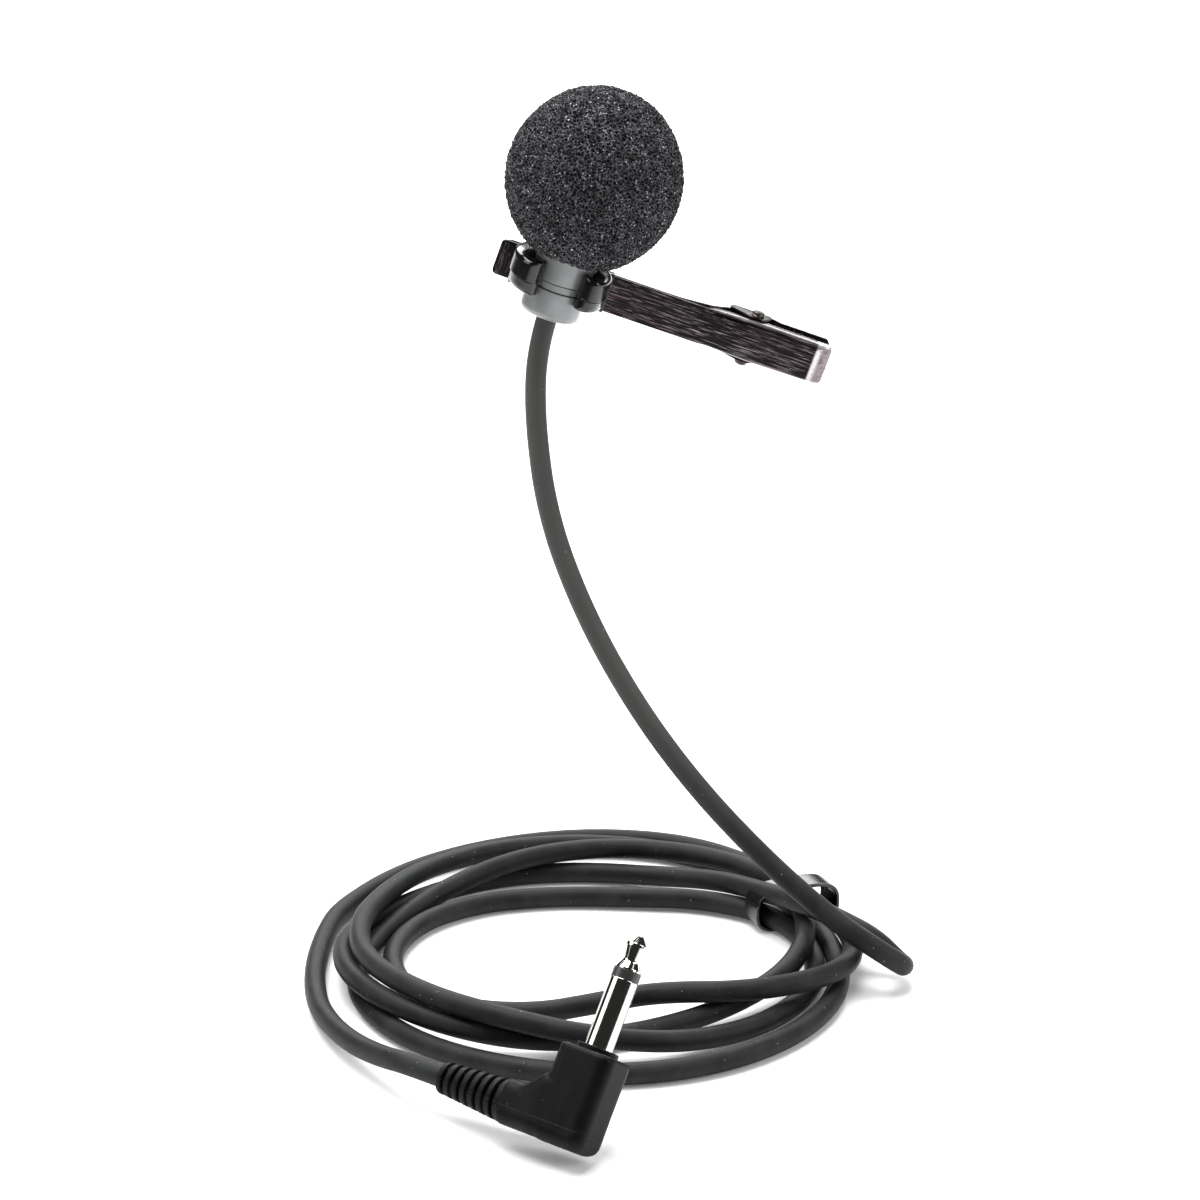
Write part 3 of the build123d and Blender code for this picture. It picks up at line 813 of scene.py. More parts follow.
@dataclass(frozen=True)
class Ground:
    """Pale matt floor."""

    name: str = "pale_floor"
    colour: Colour = (0.86, 0.86, 0.86)
    glow: float = 0.3

    def build(self) -> bpy.types.Material:
        """Make the material."""
        shade = Shade(self.name, {"Specular IOR Level": 0.1, "Emission Strength": self.glow,
                                  "Emission Color": (1, 1, 1, 1)})
        cloud = shade.noise(shade.spot([60.0] * 3), 2.0)
        return shade.coat(shade.blend(cloud, self.colour, tuple(0.985 * c for c in self.colour)), 0.9)


def dress(piece: bpy.types.Object, finish: Any, body: Body, slot: str, *nodes: str) -> bpy.types.Object:
    """Give a new piece its finish and its body, log its slot, and hide the nodes that it stands for.

    Args:
        piece: a mesh or a curve.
        finish: a finish, or a material already made.
        body: the body it rides on.
        slot: the record's material slot.
        nodes: CAD nodes it replaces.

    Returns:
        The piece.
    """
    material = finish if isinstance(finish, bpy.types.Material) else finish.build()
    piece.data.materials.clear()
    piece.data.materials.append(material)
    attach(piece, body.value)
    if nodes:
        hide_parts(*nodes)
    log.info("piece %s rides %s, slot %s", piece.name, body.value, slot)
    return piece


# ---------------------------------------------------------------- studio
@dataclass(frozen=True)
class Softbox:
    """A square or oblong area light aimed at one point."""

    name: str
    at: Sequence[float]
    aim: Sequence[float]
    size: Sequence[float]
    power: float

    def build(self) -> None:
        """Put the light in the scene."""
        data = bpy.data.lights.new(self.name, "AREA")
        data.shape, data.size, data.size_y = "RECTANGLE", self.size[0], self.size[1]
        data.energy = self.power
        lamp = bpy.data.objects.new(self.name, data)
        lamp.location = self.at
        aim = Vector(self.aim) - Vector(self.at)
        lamp.rotation_euler = aim.to_track_quat("-Z", "Y").to_euler()
        bpy.context.scene.collection.objects.link(lamp)


@dataclass(frozen=True)
class Studio:
    """Camera, floor and soft light, in metres."""

    camera_at: Sequence[float] = (0.01249, -0.44355, 0.1124)
    pitch: float = 20.0
    lens: float = 103.8
    sensor: float = 36.0
    floor_half: float = 3.0
    world: float = 0.03
    glow: float = 0.1

    def build(self) -> None:
        """Make the camera, the floor and the lights."""
        data = bpy.data.cameras.new("camera")
        data.lens, data.sensor_width, data.clip_start = self.lens, self.sensor, 0.01
        camera = bpy.data.objects.new("camera", data)
        camera.location = self.camera_at
        camera.rotation_euler = (radians(90 - self.pitch), 0, 0)
        bpy.context.scene.collection.objects.link(camera)
        bpy.context.scene.camera = camera
        corners = np.array([[-1, -1], [1, -1], [1, 1], [-1, 1]]) * self.floor_half
        verts = np.concatenate([corners, np.full((4, 1), CAD_BOX[0][2])], axis=1)
        floor = mesh_object("floor", verts, np.array([[0, 1, 2, 3]]), np.zeros((0, 3), int))
        floor.data.materials.append(Ground(glow=self.glow).build())
        world = bpy.data.worlds.new("studio")
        world.use_nodes = True
        background = world.node_tree.nodes["Background"]
        background.inputs["Color"].default_value = (1, 1, 1, 1)
        background.inputs["Strength"].default_value = self.world
        bpy.context.scene.world = world
        bpy.context.scene.view_settings.view_transform = "Standard"
        boxes = [
            Softbox("overhead", (-0.14, 0.08, 0.72), (0.01, 0, -0.05), (0.6, 0.75), 13.0),
            Softbox("right", (0.62, -0.22, 0.28), (0.01, 0, -0.03), (0.35, 0.5), 2.8),
            Softbox("left", (-0.6, -0.1, 0.42), (0.01, 0, -0.03), (0.45, 0.6), 2.6),
            Softbox("behind", (0.1, 0.85, 0.45), (0.01, 0.3, -0.08), (1.2, 0.5), 12.0),
        ]
        for box in boxes:
            box.build()


# ---------------------------------------------------------------- lead
@dataclass(frozen=True)
class Lead:
    """The lead as one smooth spline: down from the capsule, round the coil, out to the plug."""

    place: Place
    plug: Place
    radius: float = 1.4
    length: float = 1.0
    start_at: float = -4.4
    first_at: float = -9.6
    drop: tuple = (
        (3.9, -9.6, -20.0), (5.6, -14.6, -32.0), (10.4, -20.2, -43.5), (17.0, -25.2, -54.3),
        (24.8, -29.4, -64.0), (33.6, -33.0, -72.6), (42.4, -36.6, -79.6), (49.2, -38.9, -83.6),
        (52.3, -37.0, -86.4), (51.6, -33.2, -87.4), (48.4, -32.4, -84.3), (43.8, -29.4, -83.0),
        (39.1, -26.6, -81.9),
    )
    tail: tuple = (
        (-24.4, -23.8, -88.15), (-25.0, -34.2, -88.15), (-23.9, -43.8, -88.0), (-21.9, -50.4, -87.5),
        (-18.6, -57.4, -86.7), (-14.6, -63.3, -85.6),
    )
    tail_end: float = 18.4
    tail_run: float = 5.5
    centre: tuple = (11.5, -28.5)
    tie_angle: float = 24.0
    steps_per_turn: int = 16
    corner_cut: float = 0.985
    # reach from the coil's centre and height over the floor, eight to a turn from the tie onwards
    reach: tuple = (
        25.5, 24.5, 26.1, 30.3, 34.0, 29.0, 23.6, 27.2,
        29.2, 29.0, 25.0, 27.3, 33.0, 34.4, 35.4, 34.1,
        29.9, 33.7, 33.3, 29.9, 31.6, 29.4, 29.7, 30.5,
        26.3, 17.3, 18.1, 24.7, 26.8, 19.7, 20.3, 34.7,
        32.9, 36.9, 36.1, 36.2,
    )
    lift: tuple = (
        5.0, 1.7, 1.5, 1.6, 4.6, 2.5, 1.4, 3.6,
        4.7, 3.8, 4.4, 1.7, 1.45, 1.5, 1.5, 1.45,
        1.9, 1.5, 2.4, 4.7, 6.4, 5.6, 2.0, 1.45,
        1.7, 1.6, 1.45, 1.45, 1.5, 1.6, 4.8, 4.5,
        1.8, 1.45, 1.45, 1.4,
    )

    def coil_points(self) -> Array:
        """Turns of the coil as spline points, in millimetres.

        Reach and lift pass smoothly through their values (Catmull-Rom), and a point is
        centre + reach (cos a, sin a) at that lift, with a growing by a sixteenth of a turn.  Reach
        is divided by corner_cut, because the spline passes inside its points.
        """
        values = np.stack([self.reach, self.lift], axis=1)
        count = len(values)
        t = np.arange((count - 1) * 2 + 1) / 2
        cell = np.floor(t).astype(int)
        f = (t - cell)[:, None]
        a, b, c, d = (values[np.clip(cell + k, 0, count - 1)] for k in (-1, 0, 1, 2))
        here = 0.5 * (2 * b + (c - a) * f + (2 * a - 5 * b + 4 * c - d) * f ** 2
                      + (3 * b - a - 3 * c + d) * f ** 3)
        angle = np.radians(self.tie_angle + 360 / self.steps_per_turn * np.arange(len(t)))
        out = here[:, 0] / self.corner_cut
        floor = CAD_BOX[0][2] / MM
        return np.stack([self.centre[0] + out * np.cos(angle), self.centre[1] + out * np.sin(angle),
                         floor + here[:, 1]], axis=1)

    def build(self) -> bpy.types.Object:
        """Make the spline and give it its round section."""
        start = [self.place.out(np.array([0, 0, z])) for z in (self.start_at, self.first_at)]
        cord_dir = self.plug.x
        corner = self.plug.origin
        end = [corner - cord_dir * MM * (self.tail_end + run) for run in (self.tail_run, 0)]
        points = np.concatenate([start, np.array(self.drop) * MM, self.coil_points() * MM,
                                 np.array(self.tail) * MM, end])
        data = bpy.data.curves.new("lead", "CURVE")
        data.dimensions = "3D"
        spline = data.splines.new("NURBS")
        spline.points.add(len(points) - 1)
        spline.points.foreach_set("co", np.concatenate([points, np.ones((len(points), 1))], 1).ravel())
        spline.order_u = 3
        spline.use_endpoint_u = True
        spline.resolution_u = 10
        data.bevel_depth = self.radius * MM
        data.bevel_resolution = 6
        data.use_fill_caps = True
        lead = bpy.data.objects.new("lead", data)
        bpy.context.scene.collection.objects.link(lead)
        return dress(lead, Jacket(), Body.CLIP, "cord_rubber", "cord_drop", "cord_coil", "cord_tail")

    def declare(self) -> None:
        """Work out where the lead leaves the capsule and its diameter; neither is used."""
        leaves = self.place.out(np.array([0, 0, self.start_at]))
        2 * self.radius * MM


@dataclass(frozen=True)
class Tie:
    """Flat plastic tie, wound three times round the coil's strands, with its end standing out."""

    half_across: float = 5.9
    half_high: float = 2.95
    squareness: float = 0.62
    turns: float = 3.0
    spread: float = 3.4
    half_width: float = 0.74
    half_thick: float = 0.26
    tab: float = 1.8
    samples: int = 150

    def build(self) -> bpy.types.Object:
        """Wind the band: superellipse (a cos^p t, b sin^p t), drifting sideways with t."""
        low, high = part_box("twist_tie")
        lead = Lead.centre
        middle = np.array([(low[0] + high[0]) / 2, (low[1] + high[1]) / 2, low[2] + MM * self.half_high])
        outward = np.array([middle[0] - lead[0] * MM, middle[1] - lead[1] * MM, 0])
        outward /= np.linalg.norm(outward)
        up = np.array([0, 0, 1.0])
        sideways = np.cross(up, outward)
        t = np.linspace(-0.15, TAU * self.turns + 0.1, self.samples)
        across = self.half_across * np.sign(np.cos(t)) * np.abs(np.cos(t)) ** self.squareness
        rise = self.half_high * np.sign(np.sin(t)) * np.abs(np.sin(t)) ** self.squareness
        drift = self.spread * (t / (TAU * self.turns) - 0.5)
        path = middle + MM * (across[:, None] * outward + rise[:, None] * up + drift[:, None] * sideways)
        bend = np.linspace(0.15, 1, 14)[:, None]
        reach = outward * 0.55 * bend ** 1.4 - up * 0.22 * bend + sideways * 0.5 * bend
        tab = path[-1] + MM * self.tab * reach
        path = np.concatenate([path, tab])
        width = np.full(len(path), self.half_width * MM)
        thick = np.full(len(path), self.half_thick * MM)
        made = carried_section("tie_band", path, sideways, width, thick, 0.18 * MM, 0.1 * MM)
        finish = Moulding("tie_plastic", (0.006, 0.006, 0.0065), 0.16, 0.012)
        return dress(made, finish, Body.CLIP, "tie_black", "twist_tie")


# ---------------------------------------------------------------- windscreen
@dataclass(frozen=True)
class Windscreen:
    """Foam ball with a socket for the capsule, along the microphone's axis."""

    place: Place
    radius: float = 11.6
    half_height: float = 12.1
    centre: float = 14.0
    rim: float = 3.3
    socket: float = 4.05
    socket_top: float = 10.0
    around: int = 560
    along: int = 320
    pore: float = 0.78
    pore_depth: float = 0.3
    lump: float = 0.16
    grit: float = 0.17

    def build(self) -> bpy.types.Object:
        """Make the ball: an ellipse turned round the axis, its rim rolled into the socket.

        The skin is pushed in by depth x (1 - wall), where wall is high between pores, and
        pushed about by a slower noise.
        """
        low = np.arcsin((self.rim + 0.5 - self.centre) / self.half_height)
        rise = np.linspace(pi / 2, low, self.along)
        outer = np.stack([self.radius * np.cos(rise), self.centre + self.half_height * np.sin(rise)], 1)
        lip_from = outer[-1]
        lip = rounded_path([lip_from, (lip_from[0] - 0.75, self.rim), (self.socket + 0.1, self.rim),
                            (self.socket, self.rim + 0.9), (self.socket, self.socket_top),
                            (0, self.socket_top)], 0.5, steps=8)[1:]
        profile = np.concatenate([outer, lip])
        angle = np.linspace(0, TAU, self.around, endpoint=False)
        radius, height = profile[:, :1], profile[:, 1:]
        local = np.stack([radius * np.cos(angle), radius * np.sin(angle), height + 0 * angle], axis=-1)
        flat = local.reshape(-1, 3)
        outward = flat - np.array([0, 0, self.centre])
        outward /= np.linalg.norm(outward, axis=1, keepdims=True)
        walls = np.clip(cell_walls(flat, self.pore, 11) / 0.45, 0, 1)
        fine = lattice_noise(flat, 0.3, 5)
        slow = lattice_noise(flat, 2.1, 3) + 0.5 * lattice_noise(flat, 0.95, 4)
        push = -self.pore_depth * walls + self.lump * (slow - 0.9) * 0.6 + self.grit * fine
        fade = np.concatenate([np.ones(len(outer)), np.linspace(1, 0, len(lip)) ** 2])
        flat = flat + outward * (push * np.repeat(fade, self.around))[:, None]
        rings = self.place.out(flat.reshape(local.shape))
        made = skin("foam_ball", rings[1:-1], rings[0].mean(0), rings[-1].mean(0))
        dress(made, OpenFoam(), Body.WINDSCREEN, "foam", "foam_windscreen")
        return made


# ---------------------------------------------------------------- capsule
@dataclass(frozen=True)
class Capsule:
    """The microphone's lacquered shell: end cap, trim band and housing."""

    place: Place
    radius: float = 3.95
    inner: float = 3.35
    cap_bottom: float = -5.0
    cap_edge: float = 0.75
    cord_hole: float = 1.47
    band: tuple = (-1.1, 0.0)
    band_inset: float = 0.16
    top: float = 8.2
    break_edge: float = 0.12

    def build(self) -> None:
        """Make the three turned shells."""
        finish = Lacquer("capsule_lacquer", self.place).build()
        wall = 0.6
        cap = rounded_path([(self.cord_hole, self.cap_bottom), (self.radius, self.cap_bottom),
                            (self.radius, self.band[0]), (self.inner - 0.1, self.band[0]),
                            (self.inner - 0.1, self.cap_bottom + 2 * wall),
                            (self.cord_hole, self.cap_bottom + 2 * wall)],
                           [0.25, self.cap_edge, self.break_edge, 0.05, 0.3, 0.05], closed=True)
        band_r = self.radius - self.band_inset
        gap = 0.06
        band = rounded_path([(self.inner, self.band[0] + gap), (band_r, self.band[0] + gap),
                             (band_r, self.band[1] - gap), (self.inner, self.band[1] - gap)],
                            [0.05, 0.14, 0.14, 0.05], closed=True)
        shell = rounded_path([(self.inner, self.band[1]), (self.radius, self.band[1]),
                              (self.radius, self.top), (self.inner, self.top)],
                             [0.05, self.break_edge, 0.08, 0.05], closed=True)
        for name, profile, node in (("cap_shell", cap, "end_cap"), ("band_shell", band, "trim_band"),
                                    ("housing_shell", shell, "capsule_housing")):
            made = turned_piece(name, self.place, profile, 128, closed=True)
            dress(made, finish, Body.CAPSULE, "grey_body", node)


# ---------------------------------------------------------------- clip
@dataclass(frozen=True)
class Holder:
    """Glossy clamp round the capsule, open towards the front, with a sleeve round the arm."""

    place: Place
    inner: float = 4.0
    outer: float = 6.3
    half_high: float = 2.55
    low: float = 2.25
    parting: float = -0.5
    mouth: float = 33.0
    lip: float = 9.0
    edge: float = 0.8
    boxy: float = 0.75
    wider: float = 0.09
    lean: float = 0.04
    back: float = 6.15
    sleeve_half: float = 7.0
    slot_half: tuple = (0.31, 2.53)
    slot_middle: float = 5.275
    walls: tuple = (0.52, 0.2)
    arm_drop: float = 1.1
    arm_tilt: float = 0.8
    stations: int = 130

    def clamp(self) -> bpy.types.Object:
        """Carry the clamp's section round the axis: r and z from the section, a from lip to lip.

        Towards each lip the section draws in to its middle as a quarter ellipse.  Its outer half
        is scaled by wide^3, with wide = 1 + boxy ((cos^4 a + sin^4 a)^(-1/4) - 1)
        + (wider - lean cos a) |cos a|^3, which squares the clamp off and swells its sides.
        """
        mid_r = (self.inner + self.outer) / 2
        section = rounded_path(
            [(self.inner, -self.low), (self.outer - 0.22, -self.low),
             (self.outer - 0.1, self.parting - 0.07), (self.outer - 0.2, self.parting),
             (self.outer, self.parting + 0.07), (self.outer, self.half_high), (self.inner, self.half_high)],
            [0.2, 1.0, 0.04, 0.05, 0.05, self.edge, 0.35], closed=True, steps=9)
        start, end = radians(self.mouth - 90), radians(270 - self.mouth)
        reach = radians(self.lip)
        ends = reach * (1 - np.cos(np.linspace(0.08, pi / 2, 14)))
        angle = np.concatenate([start + ends, np.linspace(start + reach, end - reach, self.stations)[1:-1],
                                (end - ends)[::-1]])
        near = np.minimum(angle - start, end - angle) / reach
        grow = np.sqrt(np.clip(1 - (1 - np.clip(near, 0, 1)) ** 2, 0, 1))[:, None]
        square = (np.abs(np.cos(angle)) ** 4 + np.abs(np.sin(angle)) ** 4) ** -0.25 - 1
        wide = 1 + self.boxy * np.clip(square, 0, None)
        wide = wide + (self.wider - self.lean * np.cos(angle)) * np.abs(np.cos(angle)) ** 3
        outer = np.where(section[:, 0] > mid_r, wide[:, None] ** 3, 1)
        radius = mid_r + (section[:, 0] - mid_r) * grow * outer
        high = section[:, 1] * (0.9 + 0.1 * grow)
        x = radius * np.cos(angle)[:, None]
        y = np.minimum(radius * np.sin(angle)[:, None], self.back)
        rings = self.place.out(np.stack([x, y, high], axis=-1))
        poles = [self.place.out(np.array([mid_r * cos(a), mid_r * sin(a), 0])) for a in (start, end)]
        return skin("clamp_ring", rings, poles[0], poles[1])

    def sleeve(self) -> bpy.types.Object:
        """Tube round the arm: the slot's loop pushed outwards by a closed wall profile.

        The profile is (outward, along): a thin wall with a raised band and a groove at each end.
        """
        end, band, groove, start = self.sleeve_half, 0.95, 0.3, 0.9 - self.sleeve_half
        wall = rounded_path([(0, start), (0.9, start), (0.9, end - band - groove), (0.6, end - band - groove),
                             (0.6, end - band), (1.05, end - band), (1.05, end), (0, end)], 0.09,
                            closed=True, steps=4)
        loop = rounded_rectangle(np.array([self.slot_half[0]]), np.array([self.slot_half[1]]),
                                 np.array([0.08]))[0]
        outer = rounded_rectangle(np.array([self.slot_half[0] + self.walls[0]]),
                                  np.array([self.slot_half[1] + self.walls[1]]), np.array([0.35]))[0]
        spread = loop[None] + wall[:, :1, None] * (outer - loop)[None]
        x = np.broadcast_to(wall[:, 1:], spread.shape[:2])
        local = np.stack([x, spread[..., 0] + self.slot_middle, spread[..., 1] - self.arm_drop], axis=-1)
        return skin("clamp_sleeve", self.place.out(local), wrap=True)

    def build(self) -> None:
        """Make and dress the clamp and its sleeve."""
        finish = Moulding("clamp_plastic", (0.005, 0.005, 0.0055), 0.13, 0.006, 0.45).build()
        dress(self.clamp(), finish, Body.CLIP, "black_gloss", "mic_holder")
        dress(self.sleeve(), finish, Body.CLIP, "black_gloss")


@dataclass(frozen=True)
class Clip:
    """Front arm, sprung jaw with its lever, ears, pin and spring."""

    place: Place
    front: float = 5.0
    thick: float = 0.55
    tip: float = -8.5
    end: float = 37.9
    widths: tuple = ((-8.5, 2.42), (7.5, 2.5), (20.5, 2.5), (27.0, 2.8), (37.9, 2.7))
    flange_from: float = 20.0
    flange: float = 1.4
    bend: float = 0.8
    end_bend: tuple = (2.1, 1.35)
    ramp: float = 4.6
    pivot: tuple = (27.0, 7.3)
    jaw_half: float = 0.25
    ear: tuple = (2.83, 0.32)
    pin_r: float = 0.6
    head_r: float = 0.9
    wire_r: float = 0.25
    coil_r: float = 1.1
    pressed: float = 13.0

    def outline(self) -> Array:
        """The arm's edge as a closed loop of (along, up), corners rounded, anticlockwise."""
        upper = [(self.end, self.widths[-1][1])]
        upper += [(x, w) for x, w in self.widths[::-1][1:-1]] + [(self.tip, self.widths[0][1])]
        corners = upper + [(x, -w) for x, w in upper[::-1]]
        radii = [0.9, 6.0, 6.0, 6.0, 0.7, 0.7, 6.0, 6.0, 6.0, 0.9]
        loop = rounded_path(corners, radii, closed=True, steps=10)
        gaps = np.linalg.norm(np.roll(loop, -1, 0) - loop, axis=1)
        at = np.concatenate([[0], np.cumsum(gaps)])
        closed = np.concatenate([loop, loop[:1]])
        extra = np.arange(0, at[-1], 0.5)
        spots = np.unique(np.round(np.concatenate([at[:-1], extra]), 4))
        return np.stack([np.interp(spots, at, closed[:, k]) for k in (0, 1)], axis=1)

    def arm(self) -> bpy.types.Object:
        """Sheet-metal tray: rings inset from the outline, at depths that grow where the edges fold.

        Ring k stands in by inset k from the edge and back by depth k.  The front face rolls over
        the bend, runs down the folded edge and comes back up inside it to the back of the sheet.
        """
        loop = self.outline()
        ahead = np.roll(loop, -1, 0) - np.roll(loop, 1, 0)
        inward = np.stack([-ahead[:, 1], ahead[:, 0]], 1)
        inward /= np.linalg.norm(inward, axis=1, keepdims=True)
        folded = smooth(loop[:, 0], self.flange_from, self.flange_from + 1.8)
        at_end = np.clip(-inward[:, 0], 0, 1) ** 2 * folded
        bend = 0.14 + (self.bend - 0.14) * folded
        drop = bend + (self.end_bend[1] - self.bend) * at_end
        deep = self.thick + self.flange * folded
        wall = 0.5
        turn = np.linspace(0, pi / 2, 11)
        insets = [bend * (1 - sin(a)) for a in turn]
        depths = [drop * (1 - cos(a)) for a in turn]
        insets += [0 * bend, 0.12 + 0 * bend, wall - 0.12 + 0 * bend, wall + 0 * bend, wall + 0 * bend,
                   wall + 0.25 * folded + 0.02]
        depths += [deep - 0.12 * folded - 0.02, deep, deep, np.maximum(deep - 0.12, self.thick),
                   self.thick + 0.22 * folded, self.thick + 0 * bend]
        ramp = np.clip((loop[:, 0] - self.end + self.ramp) / self.ramp, 0, 1) ** 2
        rings = []
        for k, (inset, depth) in enumerate(zip(insets, depths)):
            flat = loop + inward * inset[:, None] * np.array([[0.15, 1]] if k < len(turn) else [[1, 1]])
            pull = self.end_bend[0] * (1 - sin(turn[k])) * ramp if k < len(turn) else 0 * ramp
            rings.append(np.stack([flat[:, 0] - pull, self.front + depth, flat[:, 1]], axis=1))
        rings = np.array(rings)
        shrink = np.linspace(0.0, 0.9, 7)[:, None]
        first, last = rings[0], rings[-1]
        hub = np.stack([np.clip(first[:, 0], self.tip + 3, self.end - 3), first[:, 1], 0 * first[:, 2]], 1)
        front = np.array([first + (hub - first) * s for s in shrink[::-1][:-1]])
        hub_b = np.stack([hub[:, 0], last[:, 1], hub[:, 2]], 1)
        back = np.array([last + (hub_b - last) * s for s in shrink[1:]])
        return self.plate_skin("arm_tray", np.concatenate([front, rings, back]))

    def plate_skin(self, name: str, rings: Array) -> bpy.types.Object:
        """Skin over rings in local millimetres, each end closed by a fan to its ring's middle."""
        return skin(name, self.place.out(rings), *(self.place.out(rings[k].mean(0)) for k in (0, -1)))

    def lever_path(self) -> tuple[Array, Array]:
        """Centre line (along, back) of the jaw and lever, with its half width at each point."""
        half = self.jaw_half
        back = self.front + self.thick
        corners = [(self.tip + 0.35, back + 0.08 + half), (self.tip + 0.9, back + 0.35 + half),
                   (-7.3, back + 1.0 + half), (8.6, back + 1.0 + half), (16.5, back + 0.62 + half),
                   (25.6, back + 3.5 + half), (30.0, back + 3.65 + half), (37.7, back + 3.65 + half)]
        line = rounded_path(corners, [0.3, 0.5, 0.9, 6, 8, 6, 4, 1], steps=9)
        gaps = np.linalg.norm(np.diff(line, axis=0), axis=1)
        at = np.concatenate([[0], np.cumsum(gaps)])
        spots = np.linspace(0, at[-1], 190)
        line = np.stack([np.interp(spots, at, line[:, k]) for k in (0, 1)], axis=1)
        x = line[:, 0]
        width = 2.3 + 0.1 * smooth(x, 8, 18) + 0.55 * smooth(x, 20.5, 25.2) - 0.2 * smooth(x, 29.0, 30.8)
        width -= 0.35 * (1 - smooth(x, self.tip + 0.3, self.tip + 1.3))
        width -= 0.45 * smooth(x, 36.9, 37.75) ** 2
        return line, width

    def jaw(self) -> bpy.types.Object:
        """Carry a strip along the lever's line, with three grip grooves across the lever."""
        line, width = self.lever_path()
        ribs = sum(np.exp(-((line[:, 0] - x) / 0.2) ** 2) for x in (31.6, 32.8, 34.0))
        local = np.stack([line[:, 0], line[:, 1] + 0.12 * ribs, 0 * line[:, 0]], axis=1)
        thick = np.full(len(line), self.jaw_half * MM)
        return carried_section("jaw_lever", self.place.out(local), self.place.z, width * MM, thick,
                               0.16 * MM, 0.12 * MM)

    def ear_plate(self, side: Side) -> bpy.types.Object:
        """One of the jaw's ears: a rounded outline in the (along, back) plane, with eased faces."""
        x, y = self.pivot
        outline = rounded_path([(x - 3.4, y + 2.1), (x - 3.9, y + 0.9), (x - 1.0, self.front + 0.9),
                                (x + 1.0, self.front + 0.9), (x + 1.9, y + 0.6), (x + 2.2, y + 2.1)],
                               [0.3, 1.0, 1.1, 1.1, 1.0, 0.3], closed=True, steps=8)
        middle = outline.mean(0)
        low, thick = self.ear
        levels = [(0.10, 0.0), (0.0, 0.08), (0.0, thick - 0.12), (0.05, thick - 0.03), (0.16, thick)]
        away = middle - outline
        away /= np.linalg.norm(away, axis=1, keepdims=True)
        rings = []
        for inset, height in levels:
            flat = outline + away * inset
            z = np.full(len(flat), side.value * (low + height))
            rings.append(np.stack([flat[:, 0], flat[:, 1], z], 1))
        poles = [np.array([middle[0], middle[1], side.value * (low + h)]) for h in (0.0, thick)]
        return skin(f"jaw_ear_{side.name.lower()}", self.place.out(np.array(rings)),
                    *(self.place.out(pole) for pole in poles))

    def pin(self) -> bpy.types.Object:
        """Rivet with two low domed heads."""
        at = self.place.moved(self.pivot[0], self.pivot[1], 0)
        half, head = 3.17, 0.75
        turn = np.linspace(0, pi / 2, 9)
        dome = np.stack([self.head_r * np.sin(turn), half + head * np.cos(turn) ** 0.5], 1)
        neck = [(self.head_r, half + 0.02), (self.pin_r + 0.05, half), (self.pin_r, half - 0.05)]
        upper = np.concatenate([dome, neck])
        profile = np.concatenate([upper, upper[::-1] * np.array([1, -1])])
        return turned_piece("pin_rivet", at, profile, 48)

    def spring(self) -> bpy.types.Object:
        """Torsion spring: a leg, four turns of radius r rising by the pitch, and a second leg.

        The second leg is bent in by `pressed` degrees, to where the pressed lever leaves it.
        """
        turns, pitch, leg, pressed = 4, 0.62, 6.4, radians(self.pressed)
        t = np.linspace(-pi / 2, TAU * turns + pi / 2, 40 * turns + 20)
        rise = np.clip(t / (TAU * turns), 0, 1) * turns * pitch - turns * pitch / 2
        coil = np.stack([self.coil_r * np.cos(t), self.coil_r * np.sin(t), rise], 1)
        run = np.linspace(1, 0, 14)[:-1, None]
        first = coil[0] + run * np.array([leg, 0, 0])
        last = coil[-1] + run[::-1] * leg * np.array([cos(pressed), -sin(pressed), 0])
        path = np.concatenate([first, coil, last])
        at = self.place.moved(self.pivot[0], self.pivot[1], 0)
        return wire("spring_coil", at.out(path), self.place.z, self.wire_r * MM)

    def build(self) -> None:
        """Make and dress the clip's pieces."""
        warm, bright = (0.22, 0.15, 0.16), (0.46, 0.41, 0.42)
        # the arm's handle end and folded edges get painted highlights
        arm_metal = Brushed("arm_steel", self.place, (0.012, 0.010, 0.011), warm, bright,
                            painted_end_highlight=(0.23, 0.195, 0.205)).build()
        dull_warm, dull_bright = (tuple(0.5 * c for c in tone) for tone in (warm, bright))
        metal = Brushed("jaw_steel", self.place, (0.010, 0.008, 0.009), dull_warm, dull_bright,
                        roughness=0.4).build()
        dress(self.arm(), arm_metal, Body.CLIP, "dark_steel", "clip_arm")
        dress(self.jaw(), metal, Body.JAW, "dark_steel", "clip_jaw")
        for side in Side:
            dress(self.ear_plate(side), metal, Body.JAW, "dark_steel")
        at = self.place.moved(self.pivot[0], self.pivot[1], 0)
        rivet = Polished("rivet_steel", at, (0.075, 0.06, 0.06), 0.36)
        copper = Polished("spring_wire", at, (0.62, 0.40, 0.34), 0.24)
        dress(self.pin(), rivet, Body.CLIP, "pin_steel", "pivot_pin")
        dress(self.spring(), copper, Body.CLIP, "spring_copper", "torsion_spring")


